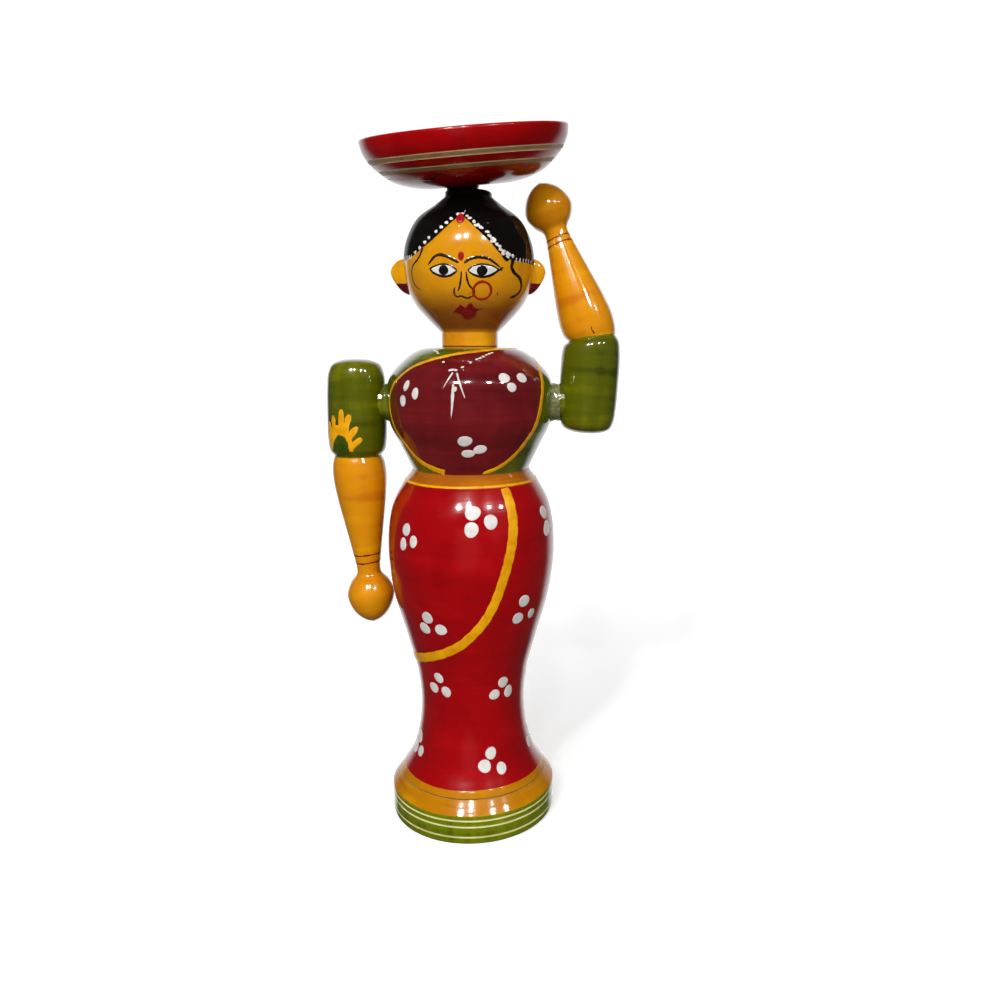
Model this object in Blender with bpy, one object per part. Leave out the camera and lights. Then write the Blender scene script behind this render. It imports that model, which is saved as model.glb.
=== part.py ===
"""Lathe-turned, lacquered wooden doll carrying a shallow dish on its head.

Metres, +Z up.  The doll stands on its base at z = 0, its turning axis is the
world Z axis and it faces -Y.  Its right arm (-X) hangs and its left arm (+X)
is raised towards the dish.  Every piece is a separate turning, held to the
next one by a round wooden peg in a blind bore.
"""
import math

import bmesh
import bpy
from mathutils import Matrix, Vector

MM = 0.001

# ---------------------------------------------------------------- dimensions
# All in millimetres.  GAP is the glue or running clearance between pieces.
GAP = 0.30
BODY_SEGMENTS = 40
LIMB_SEGMENTS = 24
PEG_SEGMENTS = 24

# Heights of the seams between the stacked turnings.
BASE_TOP = 11.6
WAIST_SEAM = 103.4
NECK_SEAM = 138.5
BUN_TOP = 181.4

# Base: a disc with a rounded lower edge, three turned grooves, sloping top.
BASE_R = 24.25
BASE_FOOT_R = 23.75
BASE_EDGE_ROUND = 1.4
BASE_SHOULDER_Z = 8.35
BASE_TOP_R = 21.5
BASE_GROOVES = (2.1, 5.1, 6.9)
GROOVE_DEPTH = 0.45
GROOVE_HALF = 0.45

# Skirt: spreading foot, narrow knees, full hips, waist collar.
FOOT_R, FOOT_Z = 21.4, BASE_TOP + GAP
ANKLE_R, ANKLE_Z = 17.6, 19.0
KNEE_R, KNEE_Z = 15.45, 31.0
SHIN_R, SHIN_Z = 16.3, 42.5
THIGH_R, THIGH_Z = 19.2, 53.5
HIP_LOW_R, HIP_LOW_Z = 22.9, 67.0
HIP_R, HIP_Z = 24.4, 80.0
BELLY_R, BELLY_Z = 23.1, 92.2
COLLAR_R, COLLAR_Z = 20.0, 98.8
WAIST_R = 17.0

# Torso: waist to full chest, then shoulders running in to the neck.
RIB_R, RIB_Z = 20.4, 110.4
CHEST_LOW_R, CHEST_LOW_Z = 23.2, 116.4
CHEST_R, CHEST_Z = 23.8, 123.0
SHOULDER_R, SHOULDER_Z = 23.3, 129.0
SHOULDER_TOP_R, SHOULDER_TOP_Z = 19.4, 134.0
COLLARBONE_R, COLLARBONE_Z = 14.4, 137.4
THROAT_R = 9.3

# Head: neck, ball and hair bun in one turning.
NECK_R, NECK_TOP = 8.1, 142.2
CHIN_R, CHIN_Z = 11.9, 146.0
JAW_R, JAW_Z = 15.3, 150.0
CHEEK_R, CHEEK_Z = 17.65, 155.0
BALL_R, BALL_Z = 18.45, 162.5
BROW_R, BROW_Z = 17.5, 168.0
CROWN_R, CROWN_Z = 14.6, 173.6
CAP_R, CAP_Z = 9.7, 177.4
BUN_NECK_R, BUN_NECK_Z = 6.6, 179.9
BUN_R = 6.5

# Dish: stands on the bun, leaning to the doll's right and to the front.
DISH_LEAN_X = -0.085
DISH_LEAN_Y = -0.193
DISH_CENTRE_Z = 185.35
DISH_FOOT_R = 9.0
DISH_FOOT_DROP = 2.2
DISH_R = 29.0
DISH_HEIGHT = 12.2
DISH_FLOOR = 4.2
DISH_FLOOR_R = 16.0
DISH_LIP = 1.7
DISH_GROOVES = (2.9, 6.3)

# Ears: small turned buttons cut to half, one on each side of the ball.
EAR_OUT_RIGHT, EAR_OUT_LEFT = 22.6, 21.9
EAR_TOP_Z = 163.2
EAR_LOBE_Z = 152.8
EAR_DEPTH = 5.2
EAR_PIN_R = 0.8
EAR_PIN_Z = 159.6

# Shoulders: one thick peg each side; the arms turn on these.
SHOULDER_AXIS_Z = 122.2
SHOULDER_PEG_R = 5.0
SHOULDER_PEG_IN = 14.0
ARM_RIGHT_X = 33.0
ARM_L_ELBOW = (35.2, 140.7)
ARM_PEG_REACH = 31.2
PEG_FIT = 0.09

# Arm turnings.
UPPER_LEN_R, UPPER_LEN_L = 27.9, 27.6
FORE_LEN_R, FORE_LEN_L = 50.5, 46.8
UPPER_R = 8.5
FORE_R = 7.75
WRIST_R = 3.45
HAND_R = 6.9
ELBOW_R = 6.8
RIGHT_ELBOW_Z = 106.6
RIGHT_FORE_LEAN = 3.9
LEFT_UPPER_LEAN = 3.6
LEFT_FORE_LEAN = -19.0
LEFT_SWING_BACK = 4.0
ELBOW_PEG_R = 2.5
ELBOW_PEG_HALF = 6.0

# Pegs on the turning axis.
BASE_PEG_R, BASE_PEG_LOW, BASE_PEG_HIGH = 5.0, 5.0, 27.0
WAIST_PEG_R, WAIST_PEG_LOW, WAIST_PEG_HIGH = 5.0, 92.0, 114.5
NECK_PEG_R, NECK_PEG_LOW, NECK_PEG_HIGH = 3.5, 129.0, 148.0
DISH_PEG_R, DISH_PEG_DOWN, DISH_PEG_UP = 2.0, 10.0, 1.6

# ------------------------------------------------------------------ colours
RED = (0.33, 0.006, 0.010, 1.0)
MAROON = (0.10, 0.008, 0.014, 1.0)
GREEN = (0.105, 0.12, 0.004, 1.0)
BASE_GREEN = (0.16, 0.20, 0.010, 1.0)
YELLOW = (0.68, 0.33, 0.010, 1.0)
FACE = (0.62, 0.29, 0.012, 1.0)
ARM_YELLOW = (0.66, 0.27, 0.014, 1.0)
RAW_WOOD = (0.52, 0.36, 0.20, 1.0)


def material(name, colour, roughness, metallic=0.0):
    mat = bpy.data.materials.get(name) or bpy.data.materials.new(name)
    mat.use_nodes = True
    shader = mat.node_tree.nodes["Principled BSDF"]
    shader.inputs["Base Color"].default_value = colour
    shader.inputs["Roughness"].default_value = roughness
    shader.inputs["Metallic"].default_value = metallic
    mat.diffuse_color = colour
    return mat


def curve_through(stations, steps):
    """Smooth line through (radius, height) stations, ends included."""
    pts = [Vector((r, z)) for r, z in stations]
    first = pts[0] * 2 - pts[1]
    last = pts[-1] * 2 - pts[-2]
    ext = [first] + pts + [last]
    out = []
    for i in range(1, len(ext) - 2):
        p0, p1, p2, p3 = ext[i - 1:i + 3]
        d1, d2, d3 = ((p1 - p0).length ** 0.5, (p2 - p1).length ** 0.5,
                      (p3 - p2).length ** 0.5)
        m1 = (p2 - p1) + ((p1 - p0) / d1 - (p2 - p0) / (d1 + d2)) * d2
        m2 = (p2 - p1) + ((p3 - p2) / d3 - (p3 - p1) / (d2 + d3)) * d2
        n = steps if isinstance(steps, int) else steps[i - 1]
        for k in range(n):
            t = k / n
            out.append(p1 * (2 * t ** 3 - 3 * t ** 2 + 1)
                       + m1 * (t ** 3 - 2 * t ** 2 + t)
                       + p2 * (-2 * t ** 3 + 3 * t ** 2)
                       + m2 * (t ** 3 - t ** 2))
    out.append(pts[-1])
    return [(max(p.x, 0.0), p.y) for p in out]


def groove(radius, height):
    """A small V cut, met from below."""
    return [(radius, height - GROOVE_HALF), (radius - GROOVE_DEPTH, height),
            (radius, height + GROOVE_HALF)]


def quarter(r_in, z_in, r_out, z_out, steps, lower=True):
    """Quarter round between a flat face and an upright side."""
    pts = []
    for k in range(steps + 1):
        a = math.pi / 2 * k / steps
        if lower:
            pts.append((r_in + (r_out - r_in) * math.sin(a),
                        z_out - (z_out - z_in) * math.cos(a)))
        else:
            pts.append((r_in + (r_out - r_in) * math.cos(a),
                        z_out + (z_in - z_out) * math.sin(a)))
    return pts


def lathe(name, profile, mat, segments, warp=None):
    """Solid of revolution.  The profile runs from the axis, round the outside
    and back to the axis; warp(point) may reshape it afterwards."""
    bm = bmesh.new()
    rings = []
    for r, z in profile:
        if r < 1e-6:
            rings.append([bm.verts.new((0, 0, z))])
        else:
            rings.append([bm.verts.new((r * math.cos(2 * math.pi * i / segments),
                                        r * math.sin(2 * math.pi * i / segments),
                                        z)) for i in range(segments)])
    for a, b in zip(rings, rings[1:]):
        for i in range(segments):
            j = (i + 1) % segments
            if len(a) == 1 and len(b) == 1:
                continue
            if len(a) == 1:
                bm.faces.new((a[0], b[j], b[i]))
            elif len(b) == 1:
                bm.faces.new((a[i], a[j], b[0]))
            else:
                bm.faces.new((a[i], a[j], b[j], b[i]))
    if warp:
        for v in bm.verts:
            v.co = warp(v.co)
    bmesh.ops.recalc_face_normals(bm, faces=bm.faces)
    if bm.calc_volume(signed=True) < 0:
        bmesh.ops.reverse_faces(bm, faces=bm.faces)
    for f in bm.faces:
        f.smooth = True
    bm.transform(Matrix.Scale(MM, 4))
    mesh = bpy.data.meshes.new(name)
    bm.to_mesh(mesh)
    bm.free()
    mesh.materials.append(mat)
    obj = bpy.data.objects.new(name, mesh)
    bpy.context.scene.collection.objects.link(obj)
    return obj


def place(obj, matrix):
    """Put a piece made at the world origin where it belongs, with its
    transform baked into the mesh."""
    obj.data.transform(matrix)
    obj.data.update()
    return obj


def along(direction):
    """Rotation that carries +Z onto a direction."""
    return Vector((0, 0, 1)).rotation_difference(Vector(direction)).to_matrix().to_4x4()


def at(x, y, z):
    return Matrix.Translation(Vector((x, y, z)) * MM)


def peg(name, radius, length, matrix, mat, chamfer=0.4):
    profile = [(0, 0), (radius - chamfer, 0), (radius, chamfer),
               (radius, length - chamfer), (radius - chamfer, length), (0, length)]
    return place(lathe(name, profile, mat, PEG_SEGMENTS), matrix)


def cut(obj, cutter):
    """Take the cutter's shape out of a piece, then discard the cutter."""
    mod = obj.modifiers.new("cut", "BOOLEAN")
    mod.operation = "DIFFERENCE"
    mod.solver = "EXACT"
    mod.object = cutter
    bpy.context.view_layer.update()
    deps = bpy.context.evaluated_depsgraph_get()
    mesh = bpy.data.meshes.new_from_object(obj.evaluated_get(deps))
    obj.modifiers.clear()
    old = obj.data
    obj.data = mesh
    mesh.name = obj.name
    bpy.data.meshes.remove(old)
    bpy.data.objects.remove(cutter)
    bm = bmesh.new()
    bm.from_mesh(obj.data)
    bmesh.ops.remove_doubles(bm, verts=bm.verts, dist=1e-6)
    bmesh.ops.dissolve_degenerate(bm, edges=bm.edges, dist=1e-6)
    bmesh.ops.triangulate(bm, faces=[f for f in bm.faces if len(f.verts) > 4])
    bm.to_mesh(obj.data)
    bm.free()
    return obj


def bore(obj, radius, length, matrix, mat):
    """Blind round bore starting at the matrix's origin, along its +Z."""
    tool = lathe("bore_tool", [(0, 0), (radius, 0), (radius, length), (0, length)],
                 mat, PEG_SEGMENTS)
    place(tool, matrix)
    return cut(obj, tool)


# ------------------------------------------------------------ profile makers
def base_profile():
    bore_floor = BASE_PEG_LOW - GAP
    p = [(0, 0)]
    p += quarter(BASE_FOOT_R, 0, BASE_R, BASE_EDGE_ROUND - 0.45, 3)
    for z in BASE_GROOVES:
        p += groove(BASE_R, z)
    p += [(BASE_R, BASE_SHOULDER_Z - 0.8)]
    p += [(BASE_R - 0.25, BASE_SHOULDER_Z), (BASE_TOP_R, BASE_TOP)]
    p += [(BASE_PEG_R + PEG_FIT, BASE_TOP), (BASE_PEG_R + PEG_FIT, bore_floor),
          (0, bore_floor)]
    return p


def skirt_outline():
    return curve_through(
        [(FOOT_R, FOOT_Z), (ANKLE_R, ANKLE_Z),
         (KNEE_R, KNEE_Z), (SHIN_R, SHIN_Z),
         (THIGH_R, THIGH_Z), (HIP_LOW_R, HIP_LOW_Z), (HIP_R, HIP_Z),
         (BELLY_R, BELLY_Z), (COLLAR_R, COLLAR_Z), (WAIST_R, WAIST_SEAM - GAP)],
        [3, 3, 3, 2, 3, 3, 3, 3, 2])


def skirt_profile():
    low = BASE_PEG_HIGH + GAP
    high = WAIST_PEG_LOW - GAP
    r1, r2 = BASE_PEG_R + PEG_FIT, WAIST_PEG_R + PEG_FIT
    top = WAIST_SEAM - GAP
    return ([(0, low), (r1, low), (r1, FOOT_Z)] + skirt_outline()
            + [(r2, top), (r2, high), (0, high)])


def torso_outline():
    return curve_through(
        [(WAIST_R, WAIST_SEAM), (RIB_R, RIB_Z), (CHEST_LOW_R, CHEST_LOW_Z),
         (CHEST_R, CHEST_Z), (SHOULDER_R, SHOULDER_Z),
         (SHOULDER_TOP_R, SHOULDER_TOP_Z), (COLLARBONE_R, COLLARBONE_Z),
         (THROAT_R, NECK_SEAM - GAP)],
        [3, 3, 2, 3, 3, 2, 2])


def torso_profile():
    r1, r2 = WAIST_PEG_R + PEG_FIT, NECK_PEG_R + PEG_FIT
    low, high = WAIST_PEG_HIGH + GAP, NECK_PEG_LOW - GAP
    top = NECK_SEAM - GAP
    return ([(0, low), (r1, low), (r1, WAIST_SEAM)] + torso_outline()
            + [(r2, top), (r2, high), (0, high)])


def head_outline():
    ball = curve_through(
        [(NECK_R, NECK_TOP), (CHIN_R, CHIN_Z), (JAW_R, JAW_Z), (CHEEK_R, CHEEK_Z),
         (BALL_R, BALL_Z), (BROW_R, BROW_Z), (CROWN_R, CROWN_Z), (CAP_R, CAP_Z),
         (BUN_NECK_R, BUN_NECK_Z)],
        [2, 2, 2, 3, 2, 2, 2, 2])
    return [(NECK_R, NECK_SEAM)] + ball + [(BUN_R, BUN_TOP - 0.5),
                                           (BUN_R - 0.5, BUN_TOP)]


def head_profile():
    r = NECK_PEG_R + PEG_FIT
    high = NECK_PEG_HIGH + GAP
    return [(0, high), (r, high), (r, NECK_SEAM)] + head_outline() + [(0, BUN_TOP)]


def dish_outline():
    """Underside and outer wall of the dish, up to its lip."""
    wall = curve_through(
        [(DISH_FOOT_R, -DISH_FOOT_DROP), (0.41 * DISH_R, -2.1),
         (0.51 * DISH_R, -1.65), (0.60 * DISH_R, -1.0), (0.665 * DISH_R, -0.35),
         (0.74 * DISH_R, 0.7), (0.83 * DISH_R, 2.75),
         (0.925 * DISH_R, 5.6), (0.985 * DISH_R, 8.9), (DISH_R, DISH_HEIGHT - 0.7)],
        [1, 1, 1, 1, 1, 2, 2, 2, 2])
    out = []
    for r, z in wall:
        if all(abs(z - g) > GROOVE_HALF for g in DISH_GROOVES):
            out.append((r, z))
    for g in DISH_GROOVES:
        slope = wall_radius(wall, g)
        cutting = [(wall_radius(wall, g - GROOVE_HALF), g - GROOVE_HALF),
                   (slope - GROOVE_DEPTH, g + 0.12),
                   (wall_radius(wall, g + GROOVE_HALF), g + GROOVE_HALF)]
        out += cutting
    return sorted(out, key=lambda p: p[1])


def wall_radius(wall, z):
    for (r0, z0), (r1, z1) in zip(wall, wall[1:]):
        if z0 <= z <= z1:
            return r0 + (r1 - r0) * (z - z0) / (z1 - z0)
    return wall[-1][0]


def dish_profile():
    lip_in = DISH_R - DISH_LIP
    inner = curve_through(
        [(lip_in, DISH_HEIGHT - 0.5), (lip_in - 1.6, 0.66 * DISH_HEIGHT),
         (lip_in - 5.4, 0.42 * DISH_HEIGHT), (DISH_FLOOR_R, DISH_FLOOR)],
        [2, 2, 2])
    return ([(0, -DISH_FOOT_DROP)] + dish_outline()
            + [(DISH_R - 0.35, DISH_HEIGHT - 0.1), (DISH_R - 0.8, DISH_HEIGHT),
               (lip_in + 0.3, DISH_HEIGHT - 0.1)]
            + inner + [(0, DISH_FLOOR)])


def upper_arm_profile(length):
    """From the elbow face to the domed shoulder end."""
    body = curve_through(
        [(ELBOW_R, 0.0), (0.93 * UPPER_R, 1.5), (0.99 * UPPER_R, 4.6),
         (UPPER_R, 0.42 * length), (0.975 * UPPER_R, 0.72 * length),
         (0.93 * UPPER_R, length - 4.2), (0.80 * UPPER_R, length - 1.7),
         (0.50 * UPPER_R, length - 0.45), (0.0, length)],
        [1, 1, 2, 2, 2, 1, 2, 1])
    return [(0, 0)] + body


def forearm_profile(length):
    """From the elbow face, tapering to the wrist, to the tip of the hand."""
    k = length / 50.2
    body = curve_through(
        [(ELBOW_R, 0.0), (0.965 * FORE_R, 2.0), (FORE_R, 5.8 * k),
         (0.90 * FORE_R, 12.6 * k), (0.72 * FORE_R, 20.6 * k),
         (0.56 * FORE_R, 27.6 * k), (WRIST_R, 33.2 * k), (1.05 * WRIST_R, 35.0 * k),
         (0.80 * HAND_R, 37.4 * k), (HAND_R, 41.1 * k), (0.81 * HAND_R, 45.6 * k),
         (0.46 * HAND_R, 48.4 * k), (0.0, length)],
        [1, 1, 2, 2, 1, 1, 1, 1, 2, 1, 1, 2])
    return [(0, 0)] + body


def mitre(matrix, seam_normal, reach=7.0):
    """Tilts the flat elbow face of a piece that will be placed with matrix, so
    that it lies in the seam plane, fading out along the piece."""
    n = matrix.to_3x3().inverted() @ Vector(seam_normal)

    def warp(co):
        fade = max(0.0, 1.0 - co.z / reach)
        rise = -(n.x * co.x + n.y * co.y) / n.z
        return Vector((co.x, co.y, co.z + rise * fade * fade))
    return warp


def ear_blob(name, side, out_to, mat):
    """Rounded ear, wide above and narrow at the lobe, its flat side inwards."""
    bm = bmesh.new()
    mid = 0.5 * (EAR_TOP_Z + EAR_LOBE_Z)
    half = 0.5 * (EAR_TOP_Z - EAR_LOBE_Z)
    reach = out_to - 15.0
    rows, cols = 12, 12
    rings = []
    for i in range(1, rows):
        t = math.pi * i / rows
        z = mid - half * math.cos(t)
        fullness = math.sin(t) ** 0.55
        u = (z - EAR_LOBE_Z) / (2 * half)
        out = reach * fullness * (0.66 + 0.34 * min(1.0, u / 0.62))
        thick = 0.5 * EAR_DEPTH * fullness * (0.60 + 0.40 * u)
        ring = []
        for k in range(cols + 1):
            a = -math.pi / 2 + math.pi * k / cols
            ring.append(bm.verts.new((side * (15.0 + out * math.cos(a)),
                                      thick * math.sin(a), z)))
        rings.append(ring)
    low = bm.verts.new((side * 15.4, 0, EAR_LOBE_Z))
    high = bm.verts.new((side * 15.4, 0, EAR_TOP_Z))
    for a, b in zip(rings, rings[1:]):
        for k in range(cols + 1):
            j = (k + 1) % (cols + 1)
            bm.faces.new((a[k], a[j], b[j], b[k]))
    for k in range(cols + 1):
        j = (k + 1) % (cols + 1)
        bm.faces.new((low, rings[0][j], rings[0][k]))
        bm.faces.new((high, rings[-1][k], rings[-1][j]))
    bmesh.ops.recalc_face_normals(bm, faces=bm.faces)
    if bm.calc_volume(signed=True) < 0:
        bmesh.ops.reverse_faces(bm, faces=bm.faces)
    for f in bm.faces:
        f.smooth = True
    bm.transform(Matrix.Scale(MM, 4))
    mesh = bpy.data.meshes.new(name)
    bm.to_mesh(mesh)
    bm.free()
    mesh.materials.append(mat)
    obj = bpy.data.objects.new(name, mesh)
    bpy.context.scene.collection.objects.link(obj)
    return obj


# --------------------------------------------------------------- placements
def dish_normal():
    return Vector((DISH_LEAN_X, DISH_LEAN_Y, 1.0)).normalized()


def dish_matrix():
    return at(0, 0, DISH_CENTRE_Z) @ along(dish_normal())


def lean_direction(degrees):
    """Unit vector leaning from +Z towards +X."""
    a = math.radians(degrees)
    return Vector((math.sin(a), 0, math.cos(a)))


def left_swing():
    """The raised arm's swing about the shoulder peg."""
    pivot = at(0, 0, SHOULDER_AXIS_Z)
    return pivot @ Matrix.Rotation(math.radians(-LEFT_SWING_BACK), 4, "X") @ pivot.inverted()


def clear_scene():
    for obj in list(bpy.data.objects):
        bpy.data.objects.remove(obj, do_unlink=True)


def build():
    clear_scene()
    red = material("lacquer_red", RED, 0.16)
    green = material("lacquer_green", GREEN, 0.16)
    base_green = material("lacquer_base_green", BASE_GREEN, 0.18)
    face = material("lacquer_face_yellow", FACE, 0.16)
    arm_yellow = material("lacquer_arm_yellow", ARM_YELLOW, 0.16)
    ear_yellow = material("lacquer_ear_yellow", YELLOW, 0.18)
    dish_red = material("lacquer_dish_red", RED, 0.14)
    wood = material("bare_wood", RAW_WOOD, 0.62)

    # stacked turnings
    lathe("base_plinth", base_profile(), base_green, BODY_SEGMENTS)
    lathe("skirt", skirt_profile(), red, BODY_SEGMENTS)
    torso = lathe("torso", torso_profile(), green, BODY_SEGMENTS)
    head = lathe("head", head_profile(), face, BODY_SEGMENTS)
    dish = place(lathe("dish", dish_profile(), dish_red, BODY_SEGMENTS + 8),
                 dish_matrix())

    # pegs on the turning axis
    peg("base_peg", BASE_PEG_R, BASE_PEG_HIGH - BASE_PEG_LOW,
        at(0, 0, BASE_PEG_LOW), wood)
    peg("waist_peg", WAIST_PEG_R, WAIST_PEG_HIGH - WAIST_PEG_LOW,
        at(0, 0, WAIST_PEG_LOW), wood)
    peg("neck_peg", NECK_PEG_R, NECK_PEG_HIGH - NECK_PEG_LOW,
        at(0, 0, NECK_PEG_LOW), wood)
    tilt = along(dish_normal())
    down = at(0, 0, DISH_CENTRE_Z) @ tilt @ at(0, 0, -DISH_PEG_DOWN)
    peg("dish_peg", DISH_PEG_R, DISH_PEG_DOWN + DISH_PEG_UP, down, wood, 0.25)
    depth = DISH_PEG_DOWN + DISH_PEG_UP + 2 * GAP
    hole = at(0, 0, DISH_CENTRE_Z) @ tilt @ at(0, 0, -DISH_PEG_DOWN - GAP)
    bore(head, DISH_PEG_R + PEG_FIT, depth, hole, wood)
    bore(dish, DISH_PEG_R + PEG_FIT, depth, hole, wood)

    # ears, seated on the ball and pinned
    for side, word, out_to in ((-1, "right", EAR_OUT_RIGHT), (1, "left", EAR_OUT_LEFT)):
        ear = ear_blob("ear_" + word, side, out_to, ear_yellow)
        grown = [(r + GAP, z) for r, z in head_outline()]
        seat = lathe("seat_tool", [(0, grown[0][1])] + grown + [(0, grown[-1][1])],
                     wood, BODY_SEGMENTS)
        cut(ear, seat)
        start = at(side * 14.0, 0, EAR_PIN_Z) @ along((side, 0, 0))
        peg("ear_pin_" + word, EAR_PIN_R, 6.6, start, wood, 0.15)
        hole = at(side * (14.0 - GAP), 0, EAR_PIN_Z) @ along((side, 0, 0))
        bore(head, EAR_PIN_R + 0.1, 6.6 + 2 * GAP, hole, wood)
        bore(ear, EAR_PIN_R + 0.1, 6.6 + 2 * GAP, hole, wood)

    # right arm, hanging: the elbow seam is level
    elbow = at(-ARM_RIGHT_X, 0, RIGHT_ELBOW_Z)
    upper = lathe("upper_arm_right", upper_arm_profile(UPPER_LEN_R), green, LIMB_SEGMENTS)
    place(upper, elbow @ at(0, 0, GAP))
    hang = along(-lean_direction(-RIGHT_FORE_LEAN))
    fore = lathe("forearm_right", forearm_profile(FORE_LEN_R), arm_yellow,
                 LIMB_SEGMENTS, mitre(hang, (0, 0, 1)))
    place(fore, elbow @ hang)
    peg("elbow_peg_right", ELBOW_PEG_R, 2 * ELBOW_PEG_HALF,
        elbow @ at(0, 0, -ELBOW_PEG_HALF), wood)
    hole = elbow @ at(0, 0, -ELBOW_PEG_HALF - GAP)
    bore(upper, ELBOW_PEG_R + PEG_FIT, 2 * (ELBOW_PEG_HALF + GAP), hole, wood)
    bore(fore, ELBOW_PEG_R + PEG_FIT, 2 * (ELBOW_PEG_HALF + GAP), hole, wood)

    # left arm, raised: the same turnings, turned over and mitred at the elbow
    ex, ez = ARM_L_ELBOW
    seam = lean_direction((LEFT_UPPER_LEAN + LEFT_FORE_LEAN) / 2)
    elbow = left_swing() @ at(ex, 0, ez)
    turned = along(-lean_direction(LEFT_UPPER_LEAN))
    upper_l = lathe("upper_arm_left", upper_arm_profile(UPPER_LEN_L), green,
                    LIMB_SEGMENTS, mitre(turned, seam))
    place(upper_l, elbow @ Matrix.Translation(-seam * 0.5 * GAP * MM) @ turned)
    lifted = along(lean_direction(LEFT_FORE_LEAN))
    fore_l = lathe("forearm_left", forearm_profile(FORE_LEN_L), arm_yellow,
                   LIMB_SEGMENTS, mitre(lifted, seam))
    place(fore_l, elbow @ Matrix.Translation(seam * 0.5 * GAP * MM) @ lifted)
    axis = elbow @ along(seam)
    peg("elbow_peg_left", ELBOW_PEG_R, 2 * ELBOW_PEG_HALF,
        axis @ at(0, 0, -ELBOW_PEG_HALF), wood)
    hole = axis @ at(0, 0, -ELBOW_PEG_HALF - GAP)
    bore(upper_l, ELBOW_PEG_R + PEG_FIT, 2 * (ELBOW_PEG_HALF + GAP), hole, wood)
    bore(fore_l, ELBOW_PEG_R + PEG_FIT, 2 * (ELBOW_PEG_HALF + GAP), hole, wood)

    # shoulder pegs
    for side, word, arm in ((-1, "right", upper), (1, "left", upper_l)):
        face_out = along((side, 0, 0))
        start = at(side * SHOULDER_PEG_IN, 0, SHOULDER_AXIS_Z) @ face_out
        length = ARM_PEG_REACH - SHOULDER_PEG_IN
        peg("shoulder_peg_" + word, SHOULDER_PEG_R, length, start, wood)
        hole = at(side * (SHOULDER_PEG_IN - GAP), 0, SHOULDER_AXIS_Z) @ face_out
        bore(torso, SHOULDER_PEG_R + PEG_FIT, length + 2 * GAP, hole, wood)
        bore(arm, SHOULDER_PEG_R + PEG_FIT, length + 2 * GAP, hole, wood)


build()
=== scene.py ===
import math
import random

import bmesh
import bpy
from mathutils import Matrix, Vector


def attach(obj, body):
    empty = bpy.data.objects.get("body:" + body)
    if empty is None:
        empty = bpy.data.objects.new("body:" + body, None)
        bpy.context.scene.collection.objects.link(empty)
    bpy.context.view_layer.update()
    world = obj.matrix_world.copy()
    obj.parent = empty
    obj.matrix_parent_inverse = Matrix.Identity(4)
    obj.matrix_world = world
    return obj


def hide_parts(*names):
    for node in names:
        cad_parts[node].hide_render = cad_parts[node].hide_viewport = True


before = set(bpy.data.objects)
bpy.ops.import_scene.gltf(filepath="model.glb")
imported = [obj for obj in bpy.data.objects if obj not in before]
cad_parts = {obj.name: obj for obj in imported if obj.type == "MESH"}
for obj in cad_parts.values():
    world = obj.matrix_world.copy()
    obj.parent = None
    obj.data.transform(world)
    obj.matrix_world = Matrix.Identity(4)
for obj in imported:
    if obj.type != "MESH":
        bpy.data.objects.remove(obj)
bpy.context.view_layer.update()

MM = 0.001
RND = random.Random(7)

# ------------------------------------------------------- the CAD's dimensions
GAP = 0.30
BASE_TOP, WAIST_SEAM, NECK_SEAM, BUN_TOP = 11.6, 103.4, 138.5, 181.4
BASE_R, BASE_FOOT_R, BASE_EDGE_ROUND = 24.25, 23.75, 1.4
BASE_SHOULDER_Z, BASE_TOP_R = 8.35, 21.5
BASE_GROOVES, GROOVE_DEPTH, GROOVE_HALF = (2.1, 5.1, 6.9), 0.45, 0.45
SKIRT = [(21.4, 11.9), (17.6, 19.0), (15.45, 31.0), (16.3, 42.5), (19.2, 53.5),
         (22.9, 67.0), (24.4, 80.0), (23.1, 92.2), (20.0, 98.8), (17.0, 103.1)]
TORSO = [(17.0, 103.4), (20.4, 110.4), (23.2, 116.4), (23.8, 123.0),
         (23.3, 129.0), (19.4, 134.0), (14.4, 137.4), (9.3, 138.2)]
HEAD = [(8.1, 142.2), (11.9, 146.0), (15.3, 150.0), (17.65, 155.0),
        (18.45, 162.5), (17.5, 168.0), (14.6, 173.6), (9.7, 177.4), (6.6, 179.9)]
BUN_R = 6.5
DISH_R, DISH_HEIGHT, DISH_FOOT_R, DISH_FOOT_DROP = 29.0, 12.2, 9.0, 2.2
DISH_FLOOR, DISH_FLOOR_R, DISH_LIP, DISH_GROOVES = 4.2, 16.0, 1.7, (2.9, 6.3)
UPPER_R, FORE_R, WRIST_R, HAND_R, ELBOW_R = 8.5, 7.75, 3.45, 6.9, 6.8
PEG_R, PEG_FIT = 5.0, 0.09


# ------------------------------------------------------------------ outlines
def curve_through(stations, steps):
    """Smooth line through (radius, height) stations, as in the CAD, finer."""
    pts = [Vector((r, z)) for r, z in stations]
    ext = [pts[0] * 2 - pts[1]] + pts + [pts[-1] * 2 - pts[-2]]
    out = []
    for i in range(1, len(ext) - 2):
        p0, p1, p2, p3 = ext[i - 1:i + 3]
        d1, d2, d3 = ((p1 - p0).length ** 0.5, (p2 - p1).length ** 0.5,
                      (p3 - p2).length ** 0.5)
        m1 = (p2 - p1) + ((p1 - p0) / d1 - (p2 - p0) / (d1 + d2)) * d2
        m2 = (p2 - p1) + ((p3 - p2) / d3 - (p3 - p1) / (d2 + d3)) * d2
        for k in range(steps):
            t = k / steps
            out.append(p1 * (2 * t ** 3 - 3 * t ** 2 + 1)
                       + m1 * (t ** 3 - 2 * t ** 2 + t)
                       + p2 * (-2 * t ** 3 + 3 * t ** 2)
                       + m2 * (t ** 3 - t ** 2))
    out.append(pts[-1])
    return [(max(p.x, 0.0), p.y) for p in out]


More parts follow.
